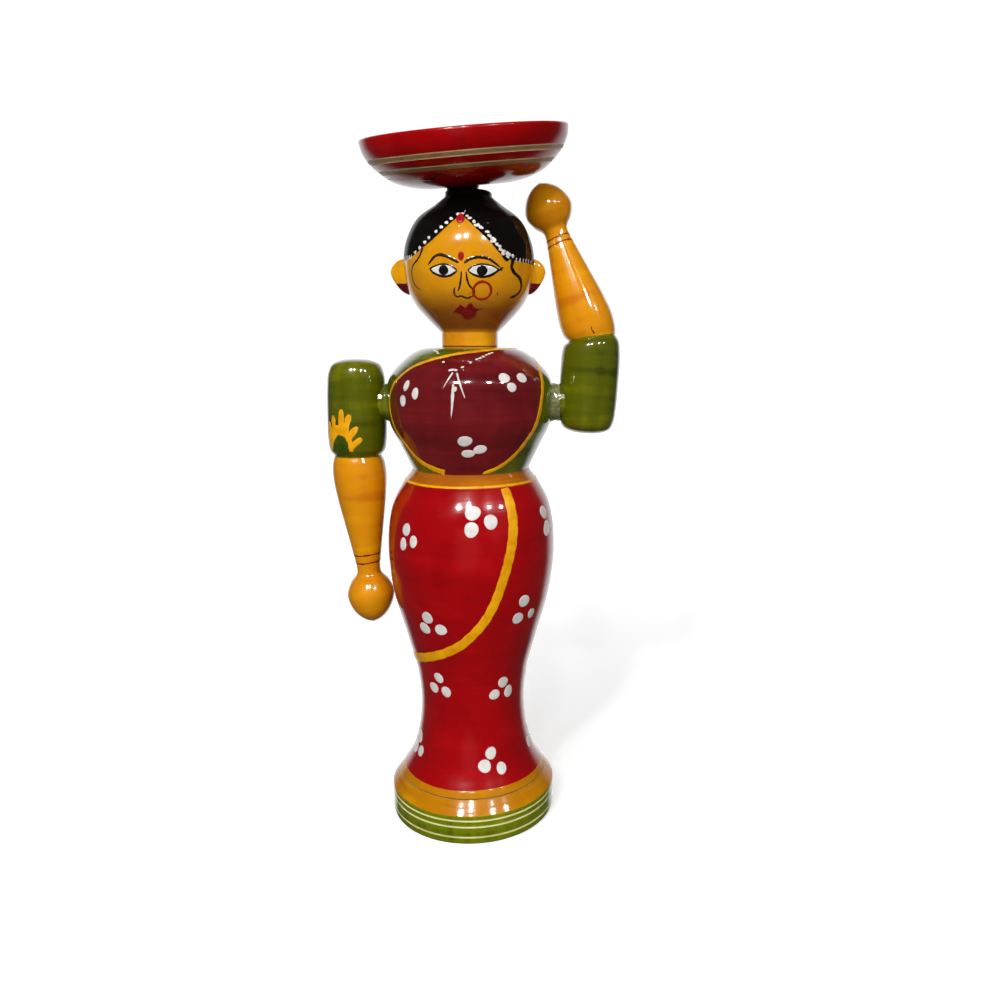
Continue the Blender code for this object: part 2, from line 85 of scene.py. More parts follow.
def resample(outline, step, breaks=()):
    """The same line with points every step, and one at each height in breaks."""
    out = [outline[0]]
    for a, b in zip(outline, outline[1:]):
        length = math.hypot(b[0] - a[0], b[1] - a[1])
        stops = {k / max(1, math.ceil(length / step)) for k in
                 range(1, max(1, math.ceil(length / step)) + 1)}
        for z in breaks:
            if min(a[1], b[1]) < z < max(a[1], b[1]):
                stops.add((z - a[1]) / (b[1] - a[1]))
        for t in sorted(stops):
            out.append((a[0] + (b[0] - a[0]) * t, a[1] + (b[1] - a[1]) * t))
    return out


def skirt_line():
    return curve_through(SKIRT, 14)


def torso_line():
    return curve_through(TORSO, 12)


def head_line():
    return ([(8.1, NECK_SEAM)] + curve_through(HEAD, 12)
            + [(BUN_R, BUN_TOP - 0.5), (BUN_R - 0.15, BUN_TOP - 0.15),
               (BUN_R - 0.5, BUN_TOP)])


def upper_line(length):
    return curve_through(
        [(ELBOW_R, 0.0), (0.93 * UPPER_R, 1.5), (0.99 * UPPER_R, 4.6),
         (UPPER_R, 0.42 * length), (0.975 * UPPER_R, 0.72 * length),
         (0.93 * UPPER_R, length - 4.2), (0.80 * UPPER_R, length - 1.7),
         (0.50 * UPPER_R, length - 0.45), (0.0, length)], 10)


def forearm_line(length):
    k = length / 50.2
    return curve_through(
        [(ELBOW_R, 0.0), (0.965 * FORE_R, 2.0), (FORE_R, 5.8 * k),
         (0.90 * FORE_R, 12.6 * k), (0.72 * FORE_R, 20.6 * k),
         (0.56 * FORE_R, 27.6 * k), (WRIST_R, 33.2 * k), (1.05 * WRIST_R, 35.0 * k),
         (0.80 * HAND_R, 37.4 * k), (HAND_R, 41.1 * k), (0.81 * HAND_R, 45.6 * k),
         (0.46 * HAND_R, 48.4 * k), (0.0, length)], 9)


def dish_wall():
    return curve_through(
        [(DISH_FOOT_R, -DISH_FOOT_DROP), (0.41 * DISH_R, -2.1),
         (0.51 * DISH_R, -1.65), (0.60 * DISH_R, -1.0), (0.665 * DISH_R, -0.35),
         (0.74 * DISH_R, 0.7), (0.83 * DISH_R, 2.75), (0.925 * DISH_R, 5.6),
         (0.985 * DISH_R, 8.9), (DISH_R, DISH_HEIGHT - 0.7)], 8)


def radius_at(line, z):
    for (r0, z0), (r1, z1) in zip(line, line[1:]):
        if z0 <= z <= z1:
            return r0 + (r1 - r0) * (z - z0) / max(z1 - z0, 1e-9)
    return line[-1][0]


def cut_grooves(line, cuts):
    """Turned rings cut into an outline: each is (height, half width, depth)."""
    out = [(r, z) for r, z in line
           if all(abs(z - g) > h for g, h, _ in cuts)]
    for g, h, d in cuts:
        out += [(radius_at(line, g - h), g - h),
                (radius_at(line, g - 0.35 * h) - d, g - 0.35 * h),
                (radius_at(line, g + 0.35 * h) - d, g + 0.35 * h),
                (radius_at(line, g + h), g + h)]
    return sorted(out, key=lambda p: p[1])


# ---------------------------------------------------------------- placements
def at(x, y, z):
    return Matrix.Translation(Vector((x, y, z)) * MM)


def along(direction):
    return Vector((0, 0, 1)).rotation_difference(Vector(direction)).to_matrix().to_4x4()


def lean(degrees):
    a = math.radians(degrees)
    return Vector((math.sin(a), 0, math.cos(a)))


def mitre(matrix, seam, reach=7.0):
    n = matrix.to_3x3().inverted() @ Vector(seam)

    def warp(co):
        fade = max(0.0, 1.0 - co.z / reach)
        return Vector((co.x, co.y,
                       co.z - (n.x * co.x + n.y * co.y) / n.z * fade * fade))
    return warp


ONE = Matrix.Identity(4)
DISH_AT = at(0, 0, 185.35) @ along(Vector((-0.085, -0.193, 1.0)).normalized())
R_ELBOW = at(-33.0, 0, 106.6)
R_UPPER_AT = R_ELBOW @ at(0, 0, GAP)
R_HANG = along(-lean(-3.9))
R_FORE_AT = R_ELBOW @ R_HANG
SWING = at(0, 0, 122.2) @ Matrix.Rotation(math.radians(-4.0), 4, "X") @ at(0, 0, -122.2)
L_SEAM = lean((3.6 - 19.0) / 2)
L_ELBOW = SWING @ at(35.2, 0, 140.7)
L_TURNED = along(-lean(3.6))
L_LIFTED = along(lean(-19.0))
L_UPPER_AT = L_ELBOW @ Matrix.Translation(-L_SEAM * 0.15 * MM) @ L_TURNED
L_FORE_AT = L_ELBOW @ Matrix.Translation(L_SEAM * 0.15 * MM) @ L_LIFTED


# ----------------------------------------------------------------- materials
def srgb(r, g, b):
    def lin(c):
        c /= 255.0
        return c / 12.92 if c <= 0.04045 else ((c + 0.055) / 1.055) ** 2.4
    return (lin(r), lin(g), lin(b), 1.0)


def lacquer(name, stops, rings=330, ring_w=0.55, streak_w=0.25, mottle_w=0.35,
            rough=0.16, coat=1.0, peel=0.035, ring_bump=0.05, speck=0.25,
            streak=140, mottle=85, spec=0.12, blotch=None):
    """Lac on turned wood: bands laid on as the piece spun, faint streaks along
    it, soft cloudiness, tiny dark nibs, and a hard gloss with orange peel."""
    mat = bpy.data.materials.new(name)
    mat.use_nodes = True
    nt = mat.node_tree
    nodes, links = nt.nodes, nt.links
    bsdf = nodes["Principled BSDF"]
    bsdf.inputs["Metallic"].default_value = 0.0
    bsdf.inputs["IOR"].default_value = 1.5
    bsdf.inputs["Specular IOR Level"].default_value = spec
    bsdf.inputs["Coat Weight"].default_value = coat
    bsdf.inputs["Coat IOR"].default_value = 1.43
    tc = nodes.new("ShaderNodeTexCoord")

    def noise(scale, detail=3.0, rough_=0.55, dist=0.0):
        mp = nodes.new("ShaderNodeMapping")
        mp.inputs["Scale"].default_value = scale
        nz = nodes.new("ShaderNodeTexNoise")
        nz.inputs["Scale"].default_value = 1.0
        nz.inputs["Detail"].default_value = detail
        nz.inputs["Roughness"].default_value = rough_
        nz.inputs["Distortion"].default_value = dist
        links.new(tc.outputs["Object"], mp.inputs["Vector"])
        links.new(mp.outputs["Vector"], nz.inputs["Vector"])
        return nz.outputs["Fac"]

    def maths(op, a, b=None, clamp=False):
        n = nodes.new("ShaderNodeMath")
        n.operation = op
        n.use_clamp = clamp
        for sock, v in zip(n.inputs, (a, b)):
            if v is None:
                continue
            if isinstance(v, (int, float)):
                sock.default_value = v
            else:
                links.new(v, sock)
        return n.outputs[0]

    band = noise((14, 14, rings), 3.0, 0.6, 0.3)
    vert = noise((streak, streak, 18), 3.0, 0.6, 0.4)
    cloud = noise((mottle, mottle, mottle), 4.0, 0.6, 0.6)
    fine = noise((900, 900, 900), 2.0, 0.5)
    total = ring_w + streak_w + mottle_w
    v = maths("MULTIPLY", band, ring_w / total)
    v = maths("ADD", v, maths("MULTIPLY", vert, streak_w / total))
    v = maths("ADD", v, maths("MULTIPLY", cloud, mottle_w / total))
    ramp = nodes.new("ShaderNodeValToRGB")
    ramp.color_ramp.interpolation = "EASE"
    el = ramp.color_ramp.elements
    lo, hi = 0.36, 0.64
    for i, colour in enumerate(stops):
        pos = lo + (hi - lo) * i / (len(stops) - 1)
        if i < 2:
            el[i].position = pos
            el[i].color = colour
        else:
            el.new(pos).color = colour
    links.new(v, ramp.inputs["Fac"])
    colour = ramp.outputs["Color"]
    if blotch:
        tint, share = blotch
        big = noise((45, 45, 60), 2.0, 0.5, 0.8)
        mr = nodes.new("ShaderNodeMapRange")
        mr.inputs["From Min"].default_value = 0.50
        mr.inputs["From Max"].default_value = 0.68
        mr.inputs["To Max"].default_value = share
        links.new(big, mr.inputs["Value"])
        mx = nodes.new("ShaderNodeMix")
        mx.data_type = "RGBA"
        links.new(mr.outputs["Result"], mx.inputs["Factor"])
        links.new(colour, mx.inputs["A"])
        mx.inputs["B"].default_value = tint
        colour = mx.outputs["Result"]
    if speck:
        nib = noise((620, 620, 620), 1.0, 0.4)
        mr = nodes.new("ShaderNodeMapRange")
        mr.inputs["From Min"].default_value = 0.76
        mr.inputs["From Max"].default_value = 0.82
        mr.inputs["To Max"].default_value = speck
        links.new(nib, mr.inputs["Value"])
        mx = nodes.new("ShaderNodeMix")
        mx.data_type = "RGBA"
        links.new(mr.outputs["Result"], mx.inputs["Factor"])
        links.new(colour, mx.inputs["A"])
        mx.inputs["B"].default_value = (0.03, 0.015, 0.006, 1)
        colour = mx.outputs["Result"]
    links.new(colour, bsdf.inputs["Base Color"])
    r = nodes.new("ShaderNodeMapRange")
    r.inputs["From Min"].default_value = 0.3
    r.inputs["From Max"].default_value = 0.7
    r.inputs["To Min"].default_value = max(0.02, rough * 0.7)
    r.inputs["To Max"].default_value = rough * 1.5
    links.new(cloud, r.inputs["Value"])
    links.new(r.outputs["Result"], bsdf.inputs["Roughness"])
    cr = nodes.new("ShaderNodeMapRange")
    cr.inputs["From Min"].default_value = 0.3
    cr.inputs["From Max"].default_value = 0.7
    cr.inputs["To Min"].default_value = 0.015
    cr.inputs["To Max"].default_value = 0.07
    links.new(fine, cr.inputs["Value"])
    links.new(cr.outputs["Result"], bsdf.inputs["Coat Roughness"])
    b1 = nodes.new("ShaderNodeBump")
    b1.inputs["Strength"].default_value = ring_bump
    b1.inputs["Distance"].default_value = 0.0004
    turned = noise((20, 20, 1100), 2.0, 0.5)
    links.new(turned, b1.inputs["Height"])
    b2 = nodes.new("ShaderNodeBump")
    b2.inputs["Strength"].default_value = peel
    b2.inputs["Distance"].default_value = 0.0006
    skin = noise((330, 330, 330), 3.0, 0.55)
    links.new(skin, b2.inputs["Height"])
    links.new(b1.outputs["Normal"], b2.inputs["Normal"])
    links.new(b2.outputs["Normal"], bsdf.inputs["Normal"])
    links.new(b2.outputs["Normal"], bsdf.inputs["Coat Normal"])
    return mat


def paint(name, dark, light, rough=0.32, coat=0.35, brush=260):
    """Thick hand-laid colour: uneven cover and soft brush ridges."""
    return lacquer(name, [dark, light], rings=brush, ring_w=0.35, streak_w=0.35,
                   mottle_w=0.5, rough=rough, coat=coat, peel=0.12,
                   ring_bump=0.03, speck=0.12, streak=brush, mottle=240)


RED = lacquer("lac_red", [srgb(143, 2, 7), srgb(156, 3, 9), srgb(169, 6, 12)],
              ring_w=0.4, streak_w=0.15, mottle_w=0.6, coat=0.8)
DISH_RED = lacquer("lac_dish_red", [srgb(138, 3, 6), srgb(156, 4, 8), srgb(170, 8, 12)],
                   rings=420, coat=0.3, blotch=(srgb(84, 6, 8), 0.3))
MAROON = lacquer("lac_maroon", [srgb(84, 13, 18), srgb(103, 19, 23), srgb(121, 25, 27)],
                 ring_w=0.35)
GREEN = lacquer("lac_blouse_green", [srgb(58, 66, 6), srgb(84, 92, 14), srgb(112, 118, 24)],
                rings=260)
SLEEVE = lacquer("lac_sleeve_green", [srgb(56, 62, 4), srgb(82, 87, 4), srgb(116, 115, 6)],
                 rings=150, ring_w=0.75, streak_w=0.35, mottle_w=0.2)
BASE_GREEN = lacquer("lac_base_green", [srgb(84, 96, 4), srgb(110, 122, 10), srgb(140, 146, 24)],
                     rings=420, streak_w=0.6, streak=260)
BASE_YELLOW = lacquer("lac_base_yellow", [srgb(162, 96, 8), srgb(186, 118, 6), srgb(204, 138, 8)],
                      rings=420, coat=0.4, spec=0.08)
WAIST = lacquer("lac_waist_band", [srgb(134, 68, 12), srgb(162, 86, 12), srgb(186, 108, 14)],
                rings=520)
def paint_shade_and_reflection_low(mat, tint, z_from, z_to, share):
    """Painted shade and a painted reflection of the maroon chest: the colour turns browner low on the ball,
    under the cheeks.
    """
    nt = mat.node_tree
    nodes, links = nt.nodes, nt.links
    bsdf = nodes["Principled BSDF"]
    source = bsdf.inputs["Base Color"].links[0].from_socket
    tc = nodes.new("ShaderNodeTexCoord")
    sep = nodes.new("ShaderNodeSeparateXYZ")
    links.new(tc.outputs["Object"], sep.inputs[0])
    mr = nodes.new("ShaderNodeMapRange")
    mr.interpolation_type = "SMOOTHSTEP"
    mr.inputs["From Min"].default_value = z_from * MM
    mr.inputs["From Max"].default_value = z_to * MM
    mr.inputs["To Min"].default_value = 0.0
    mr.inputs["To Max"].default_value = share
    links.new(sep.outputs["Z"], mr.inputs["Value"])
    side = nodes.new("ShaderNodeMapRange")
    side.interpolation_type = "SMOOTHSTEP"
    side.inputs["From Min"].default_value = 142.0 * MM
    side.inputs["From Max"].default_value = 143.6 * MM
    links.new(sep.outputs["Z"], side.inputs["Value"])
    both = nodes.new("ShaderNodeMath")
    both.operation = "MULTIPLY"
    links.new(mr.outputs["Result"], both.inputs[0])
    links.new(side.outputs["Result"], both.inputs[1])
    mx = nodes.new("ShaderNodeMix")
    mx.data_type = "RGBA"
    links.new(both.outputs[0], mx.inputs["Factor"])
    links.new(source, mx.inputs["A"])
    mx.inputs["B"].default_value = tint
    links.new(mx.outputs["Result"], bsdf.inputs["Base Color"])


FACE = lacquer("lac_face", [srgb(196, 124, 14), srgb(212, 142, 10), srgb(224, 158, 12)],
               rings=120, ring_w=0.3, mottle_w=0.5, blotch=(srgb(186, 106, 24), 0.5))
# painted shade and painted chest reflection: the face turns brown under the cheeks and chin
paint_shade_and_reflection_low(FACE, srgb(122, 50, 22), 155.0, 146.5, 0.8)
EAR = lacquer("lac_ear", [srgb(208, 138, 8), srgb(224, 154, 6), srgb(232, 168, 16)], rings=200)
ARM = lacquer("lac_arm", [srgb(200, 114, 10), srgb(216, 139, 9), srgb(228, 160, 8)],
              rings=125, ring_w=0.8, streak_w=0.2, mottle_w=0.3,
              blotch=(srgb(200, 104, 16), 0.4))
BLACK = lacquer("lac_hair_black", [srgb(8, 7, 6), srgb(13, 11, 10), srgb(22, 19, 16)],
                rings=240, streak_w=0.5, rough=0.14, speck=0, coat=0.55, spec=0.0)
CREAM = lacquer("cut_groove_cream", [srgb(176, 168, 96), srgb(210, 206, 140), srgb(226, 222, 166)],
                rings=500, rough=0.45, coat=0.2, speck=0.4)
TAN = lacquer("cut_groove_tan", [srgb(176, 134, 96), srgb(206, 172, 130), srgb(224, 198, 156)],
              rings=500, streak_w=0.5, rough=0.45, coat=0.3, speck=0.6)
TAN_DARK = lacquer("cut_groove_brown", [srgb(122, 92, 60), srgb(150, 118, 80), srgb(172, 140, 100)],
                   rings=500, rough=0.5, coat=0.2, speck=0.6)
YELLOW = paint("paint_yellow", srgb(214, 142, 4), srgb(238, 172, 16))
WHITE = paint("paint_white", srgb(206, 201, 195), srgb(230, 226, 223))
INK = paint("paint_black", srgb(10, 8, 8), srgb(28, 22, 20), rough=0.26, coat=0.6)
BROWN_INK = paint("paint_brown_black", srgb(30, 16, 8), srgb(62, 38, 18), rough=0.26, coat=0.6)
CRIMSON = paint("paint_crimson", srgb(150, 6, 14), srgb(176, 12, 20))
LIP = paint("paint_lip", srgb(100, 6, 14), srgb(134, 14, 22))
LIP_LINE = paint("paint_lip_line", srgb(70, 6, 14), srgb(96, 12, 22))
RING_RED = paint("paint_ring_red", srgb(134, 20, 12), srgb(170, 44, 18))
BANGLE = paint("paint_bangle", srgb(120, 22, 12), srgb(158, 48, 18))
LOBE = paint("paint_lobe_maroon", srgb(76, 8, 18), srgb(110, 18, 24), rough=0.2, coat=1.0)
LEAF = paint("paint_leaf_green", srgb(44, 62, 4), srgb(64, 84, 8), rough=0.22, coat=0.8)


SEAM_DARK = lacquer("seam_dark", [srgb(52, 26, 10), srgb(84, 46, 12), srgb(120, 72, 16)],
                    rings=700, rough=0.4, coat=0.4, speck=0.3)


def bare_wood(name, stain=None):
    return lacquer(name, stain or [srgb(150, 112, 68), srgb(178, 140, 92), srgb(200, 166, 118)],
                   rings=60, ring_w=0.2, streak_w=0.8, mottle_w=0.3, rough=0.6,
                   coat=0.0, peel=0.3, ring_bump=0.1, streak=900, speck=0.3)


WOOD = bare_wood("bare_wood")
DARK_PEG = bare_wood("stained_peg", [srgb(30, 20, 14), srgb(46, 30, 20), srgb(66, 44, 28)])


def glue_material():
    """Dried clear glue: a glossy, slightly cloudy resin over green paint."""
    mat = lacquer("dried_glue", [srgb(84, 92, 44), srgb(128, 134, 84), srgb(176, 178, 132)],
                  rings=700, ring_w=0.3, mottle=700, mottle_w=0.8, rough=0.18,
                  coat=1.0, peel=0.6, speck=0.2)
    b = mat.node_tree.nodes["Principled BSDF"]
    b.inputs["Transmission Weight"].default_value = 0.25
    return mat


GLUE = glue_material()


# -------------------------------------------------------------- turned pieces
def finish_mesh(name, bm, matrix, mats, sharp=38.0):
    bmesh.ops.recalc_face_normals(bm, faces=bm.faces)
    if bm.calc_volume(signed=True) < 0:
        bmesh.ops.reverse_faces(bm, faces=bm.faces)
    limit = math.radians(sharp)
    for f in bm.faces:
        f.smooth = True
    for e in bm.edges:
        if len(e.link_faces) == 2 and e.calc_face_angle(0.0) > limit:
            e.smooth = False
    bm.transform(Matrix.Scale(MM, 4))
    mesh = bpy.data.meshes.new(name)
    bm.to_mesh(mesh)
    bm.free()
    for m in mats:
        mesh.materials.append(m)
    obj = bpy.data.objects.new(name, mesh)
    bpy.context.scene.collection.objects.link(obj)
    obj.matrix_world = matrix
    return obj


def turned(name, profile, segments, mats, region=None, matrix=ONE, warp=None):
    """Closed solid of revolution; region(theta, r, z) picks a material index."""
    bm = bmesh.new()
    rings = []
    for r, z in profile:
        if r < 1e-6:
            rings.append([bm.verts.new((0, 0, z))])
        else:
            rings.append([bm.verts.new((r * math.sin(2 * math.pi * i / segments),
                                        -r * math.cos(2 * math.pi * i / segments), z))
                          for i in range(segments)])
    for k, (a, b) in enumerate(zip(rings, rings[1:])):
        mr = (profile[k][0] + profile[k + 1][0]) / 2
        mz = (profile[k][1] + profile[k + 1][1]) / 2
        for i in range(segments):
            j = (i + 1) % segments
            if len(a) == 1 and len(b) == 1:
                continue
            if len(a) == 1:
                f = bm.faces.new((a[0], b[j], b[i]))
            elif len(b) == 1:
                f = bm.faces.new((a[i], a[j], b[0]))
            else:
                f = bm.faces.new((a[i], a[j], b[j], b[i]))
            if region:
                theta = 360.0 * (i + 0.5) / segments
                f.material_index = region(theta - 360 if theta > 180 else theta, mr, mz, k)
    if warp:
        for v in bm.verts:
            v.co = warp(v.co)
    return finish_mesh(name, bm, matrix, mats)


class Surface:
    """The outside of a turned piece, addressed by (theta, u)."""

    def __init__(self, line, matrix=ONE, warp=None):
        self.line, self.matrix, self.warp = line, matrix, warp
        self.u = [0.0]
        for a, b in zip(line, line[1:]):
            self.u.append(self.u[-1] + math.hypot(b[0] - a[0], b[1] - a[1]))
        self.length = self.u[-1]
        self.normals = []
        for i in range(len(line)):
            a, b = line[max(0, i - 1)], line[min(len(line) - 1, i + 1)]
            t = Vector((b[0] - a[0], b[1] - a[1])).normalized()
            self.normals.append((t.y, -t.x))

    def _where(self, u):
        u = min(max(u, 0.0), self.length)
        lo, hi = 0, len(self.u) - 1
        while hi - lo > 1:
            mid = (lo + hi) // 2
            if self.u[mid] <= u:
                lo = mid
            else:
                hi = mid
        return lo, (u - self.u[lo]) / max(self.u[hi] - self.u[lo], 1e-9)

    def radius(self, u):
        i, t = self._where(u)
        return self.line[i][0] * (1 - t) + self.line[i + 1][0] * t

    def point(self, theta, u, h=0.0):
        i, t = self._where(u)
        over = u - min(max(u, 0.0), self.length)
        r = self.line[i][0] * (1 - t) + self.line[i + 1][0] * t
        z = self.line[i][1] * (1 - t) + self.line[i + 1][1] * t
        nr = self.normals[i][0] * (1 - t) + self.normals[i + 1][0] * t
        nz = self.normals[i][1] * (1 - t) + self.normals[i + 1][1] * t
        s = math.hypot(nr, nz)
        nr, nz = nr / s, nz / s
        r, z = r + nr * h - nz * over, z + nz * h + nr * over
        a = math.radians(theta)
        co = Vector((r * math.sin(a), -r * math.cos(a), z))
        if self.warp:
            co = self.warp(co)
        return self.matrix @ (co * MM) / MM


class Marks:
    """Small closed raised shapes of paint lying on one surface."""

    def __init__(self, name, surface, body, slot):
        self.name, self.s, self.body, self.slot = name, surface, body, slot
        self.bm, self.mats = bmesh.new(), []

    def _mat(self, mat):
        if mat not in self.mats:
            self.mats.append(mat)
        return self.mats.index(mat)

    def _faces(self, quads, mat):
        index = self._mat(mat)
        for q in quads:
            if len(set(q)) >= 3:
                f = self.bm.faces.new(q)
                f.material_index = index

    def _local(self, theta, u, a, b):
        """Step a mm round and b mm along from (theta, u)."""
        r = max(self.s.radius(u + b), 0.8)
        return theta + math.degrees(a / r), u + b

    def _dome(self, theta, u, rim, mat, h, tuck, levels=None):
        """Closed low dome over a star-shaped rim of (a, b) offsets."""
        levels = levels or ((0.5, 0.98), (0.84, 0.88), (0.97, 0.60), (1.0, -1.0))
        new = self.bm.verts.new
        rings = []
        for share, lift in levels:
            ht = h * lift if lift >= 0 else -tuck
            rings.append([new(self.s.point(*self._local(theta, u, a * share, b * share), ht))
                          for a, b in rim])
        top = new(self.s.point(theta, u, h))
        under = new(self.s.point(theta, u, -tuck - 0.05))
        n = len(rim)
        quads = []
        for i in range(n):
            j = (i + 1) % n
            quads.append((top, rings[0][i], rings[0][j]))
            for p, q in zip(rings, rings[1:]):
                quads.append((p[i], q[i], q[j], p[j]))
            quads.append((under, rings[-1][j], rings[-1][i]))
        self._faces(quads, mat)

    def blob(self, theta, u, ra, rb, mat, h=0.09, turn=0.0, uneven=0.05, n=22, tuck=0.05):
        p1, p2 = RND.uniform(0, 6.28), RND.uniform(0, 6.28)
        c, s = math.cos(math.radians(turn)), math.sin(math.radians(turn))
        rim = []
        for i in range(n):
            w = 2 * math.pi * i / n
            k = 1 + uneven * math.sin(2 * w + p1) + 0.6 * uneven * math.sin(3 * w + p2)
            a, b = ra * k * math.cos(w), rb * k * math.sin(w)
            rim.append((a * c - b * s, a * s + b * c))
        self._dome(theta, u, rim, mat, h, tuck)

    def shape(self, outline, mat, h=0.07, smooth=True, centre=None, tuck=0.05, step=0.25):
        """Filled shape from a (theta, u) outline that is star-shaped."""
        ct = centre[0] if centre else sum(p[0] for p in outline) / len(outline)
        cu = centre[1] if centre else sum(p[1] for p in outline) / len(outline)
        flat = [(math.radians(t - ct) * self.s.radius(u), u - cu) for t, u in outline]
        if smooth:
            flat = rounded(flat, step, True)
        self._dome(ct, cu, flat, mat, h, tuck)

    def stroke(self, pts, width, mat, h=0.07, ends=(0.35, 0.35), closed=False,
               step=0.4, uneven=0.08, cross=5, tuck=0.05, widths=None):
        """A brush line through (theta, u) points: a closed domed ribbon."""
        k = math.radians(1.0)
        r0 = sum(self.s.radius(u) for _, u in pts) / len(pts)
        around = closed and max(p[0] for p in pts) - min(p[0] for p in pts) > 300
        if around:
            pts = list(pts) + [(pts[0][0] + 360, pts[0][1])]
        flat = rounded([(t * k * r0, u) for t, u in pts], step, closed and not around)
        flat = [(a / (k * r0), b) for a, b in flat]
        if around:
            flat.pop()
        n = len(flat)
        p1, p2 = RND.uniform(0, 6.28), RND.uniform(0, 6.28)
        lengths = [0.0]
        for (t0, u0), (t1, u1) in zip(flat, flat[1:]):
            r = self.s.radius((u0 + u1) / 2)
            lengths.append(lengths[-1] + math.hypot((t1 - t0) * k * r, u1 - u0))
        total = max(lengths[-1], 1e-6)
        rings = []
        for i, (t, u) in enumerate(flat):
            if closed:
                a, b = flat[i - 1], flat[(i + 1) % n]
            else:
                a, b = flat[max(0, i - 1)], flat[min(n - 1, i + 1)]
            dt = b[0] - a[0]
            if closed and abs(dt) > 180:
                dt -= math.copysign(360, dt)
            r = max(self.s.radius(u), 0.8)
            d = Vector((dt * k * r, b[1] - a[1]))
            d = d.normalized() if d.length > 1e-9 else Vector((1, 0))
            side = Vector((-d.y, d.x))
            f = lengths[i] / total
            w = width * (1 + uneven * math.sin(f * total * 1.7 + p1)
                         + 0.5 * uneven * math.sin(f * total * 4.1 + p2))
            if widths:
                x = f * (len(widths) - 1)
                m = min(int(x), len(widths) - 2)
                w *= widths[m] + (widths[m + 1] - widths[m]) * (x - m)
            if not closed:
                if i == 0:
                    w *= ends[0]
                elif i == n - 1:
                    w *= ends[1]
                else:
                    for near, e in ((lengths[i], ends[0]), (total - lengths[i], ends[1])):
                        reach = width * 0.8
                        if near < reach:
                            w *= e + (1 - e) * math.sin(near / reach * math.pi / 2)
            ring = []
            for c in range(cross):
                s = -1 + 2 * c / (cross - 1)
                ht = h * (1 - abs(s) ** 3) if 0 < c < cross - 1 else -tuck
                lat = 0.5 * w * (s if abs(s) > 0.99 else s * 0.92)
                ring.append(self.bm.verts.new(self.s.point(
                    *self._local(t, u, side.x * lat, side.y * lat), ht)))
            ring.append(self.bm.verts.new(self.s.point(t, u, -tuck - 0.06)))
            rings.append(ring)
        quads = []
        m = cross + 1
        pairs = list(zip(rings, rings[1:])) + ([(rings[-1], rings[0])] if closed else [])
        for a, b in pairs:
            for c in range(m):
                e = (c + 1) % m
                quads.append((a[c], a[e], b[e], b[c]))
        if not closed:
            quads.append(tuple(reversed(rings[0])))
            quads.append(tuple(rings[-1]))
        self._faces(quads, mat)

    def done(self, sharp=80.0):
        obj = finish_mesh(self.name, self.bm, ONE, self.mats, sharp)
        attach(obj, self.body)
        return obj


def rounded(pts, step, closed=False):
    """Catmull-Rom line through flat points, one point per step."""
    n = len(pts)
    if n < 3 and not closed:
        (x0, y0), (x1, y1) = pts
        m = max(2, int(math.hypot(x1 - x0, y1 - y0) / step))
        return [(x0 + (x1 - x0) * i / m, y0 + (y1 - y0) * i / m) for i in range(m + 1)]
    out = []
    for i in range(n if closed else n - 1):
        p1, p2 = pts[i], pts[(i + 1) % n]
        p0 = pts[i - 1] if closed or i else (2 * p1[0] - p2[0], 2 * p1[1] - p2[1])
        p3 = (pts[(i + 2) % n] if closed or i + 2 < n
              else (2 * p2[0] - p1[0], 2 * p2[1] - p1[1]))
        m = max(1, round(math.hypot(p2[0] - p1[0], p2[1] - p1[1]) / step))
        for k in range(m):
            t = k / m
            out.append(tuple(0.5 * (2 * b + (c - a) * t + (2 * a - 5 * b + 4 * c - d) * t * t
                                    + (3 * b - a - 3 * c + d) * t ** 3)
                             for a, b, c, d in zip(p0, p1, p2, p3)))
    if not closed:
        out.append(tuple(pts[-1]))
    return out


def inside(poly, x, y):
    hit = False
    for (x0, y0), (x1, y1) in zip(poly, poly[1:] + poly[:1]):
        if (y0 > y) != (y1 > y) and x < (x1 - x0) * (y - y0) / (y1 - y0) + x0:
            hit = not hit
    return hit


def dress(obj, body, slot, *nodes):
    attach(obj, body)
    if nodes:
        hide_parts(*nodes)
    return obj


# ---------------------------------------------------------------------- base
def base_piece():
    foot = []
    for k in range(9):
        a = math.pi / 2 * k / 8
        foot.append((BASE_FOOT_R + (BASE_R - BASE_FOOT_R) * math.sin(a),
                     (BASE_EDGE_ROUND - 0.45) * (1 - math.cos(a))))
    p = [(0, 0)] + foot
    for z in BASE_GROOVES:
        p += [(BASE_R, z - 0.27), (BASE_R - 0.6 * GROOVE_DEPTH, z - 0.10),
              (BASE_R - 0.6 * GROOVE_DEPTH, z + 0.10), (BASE_R, z + 0.27)]
    p += [(BASE_R, 7.6), (BASE_R, 7.95), (BASE_R - 0.08, 8.2), (BASE_R - 0.25, 8.4),
          (BASE_R - 0.55, 8.85), (BASE_TOP_R, BASE_TOP)]
    r = PEG_R + PEG_FIT
    p += [(r, BASE_TOP), (r, 5.0 - GAP), (0, 5.0 - GAP)]

    def region(theta, r_, z, k):
        if r_ < 21.2:
            return 3
        if z > 8.1:
            return 1
        if r_ < BASE_R - 0.05 and z > 1.3:
            return 2
        return 0
    obj = turned("base_plinth_look", resample(p, 1.5), 160,
                 [BASE_GREEN, BASE_YELLOW, CREAM, WOOD], region)
    return dress(obj, "doll", "base_lacquer", "base_plinth")


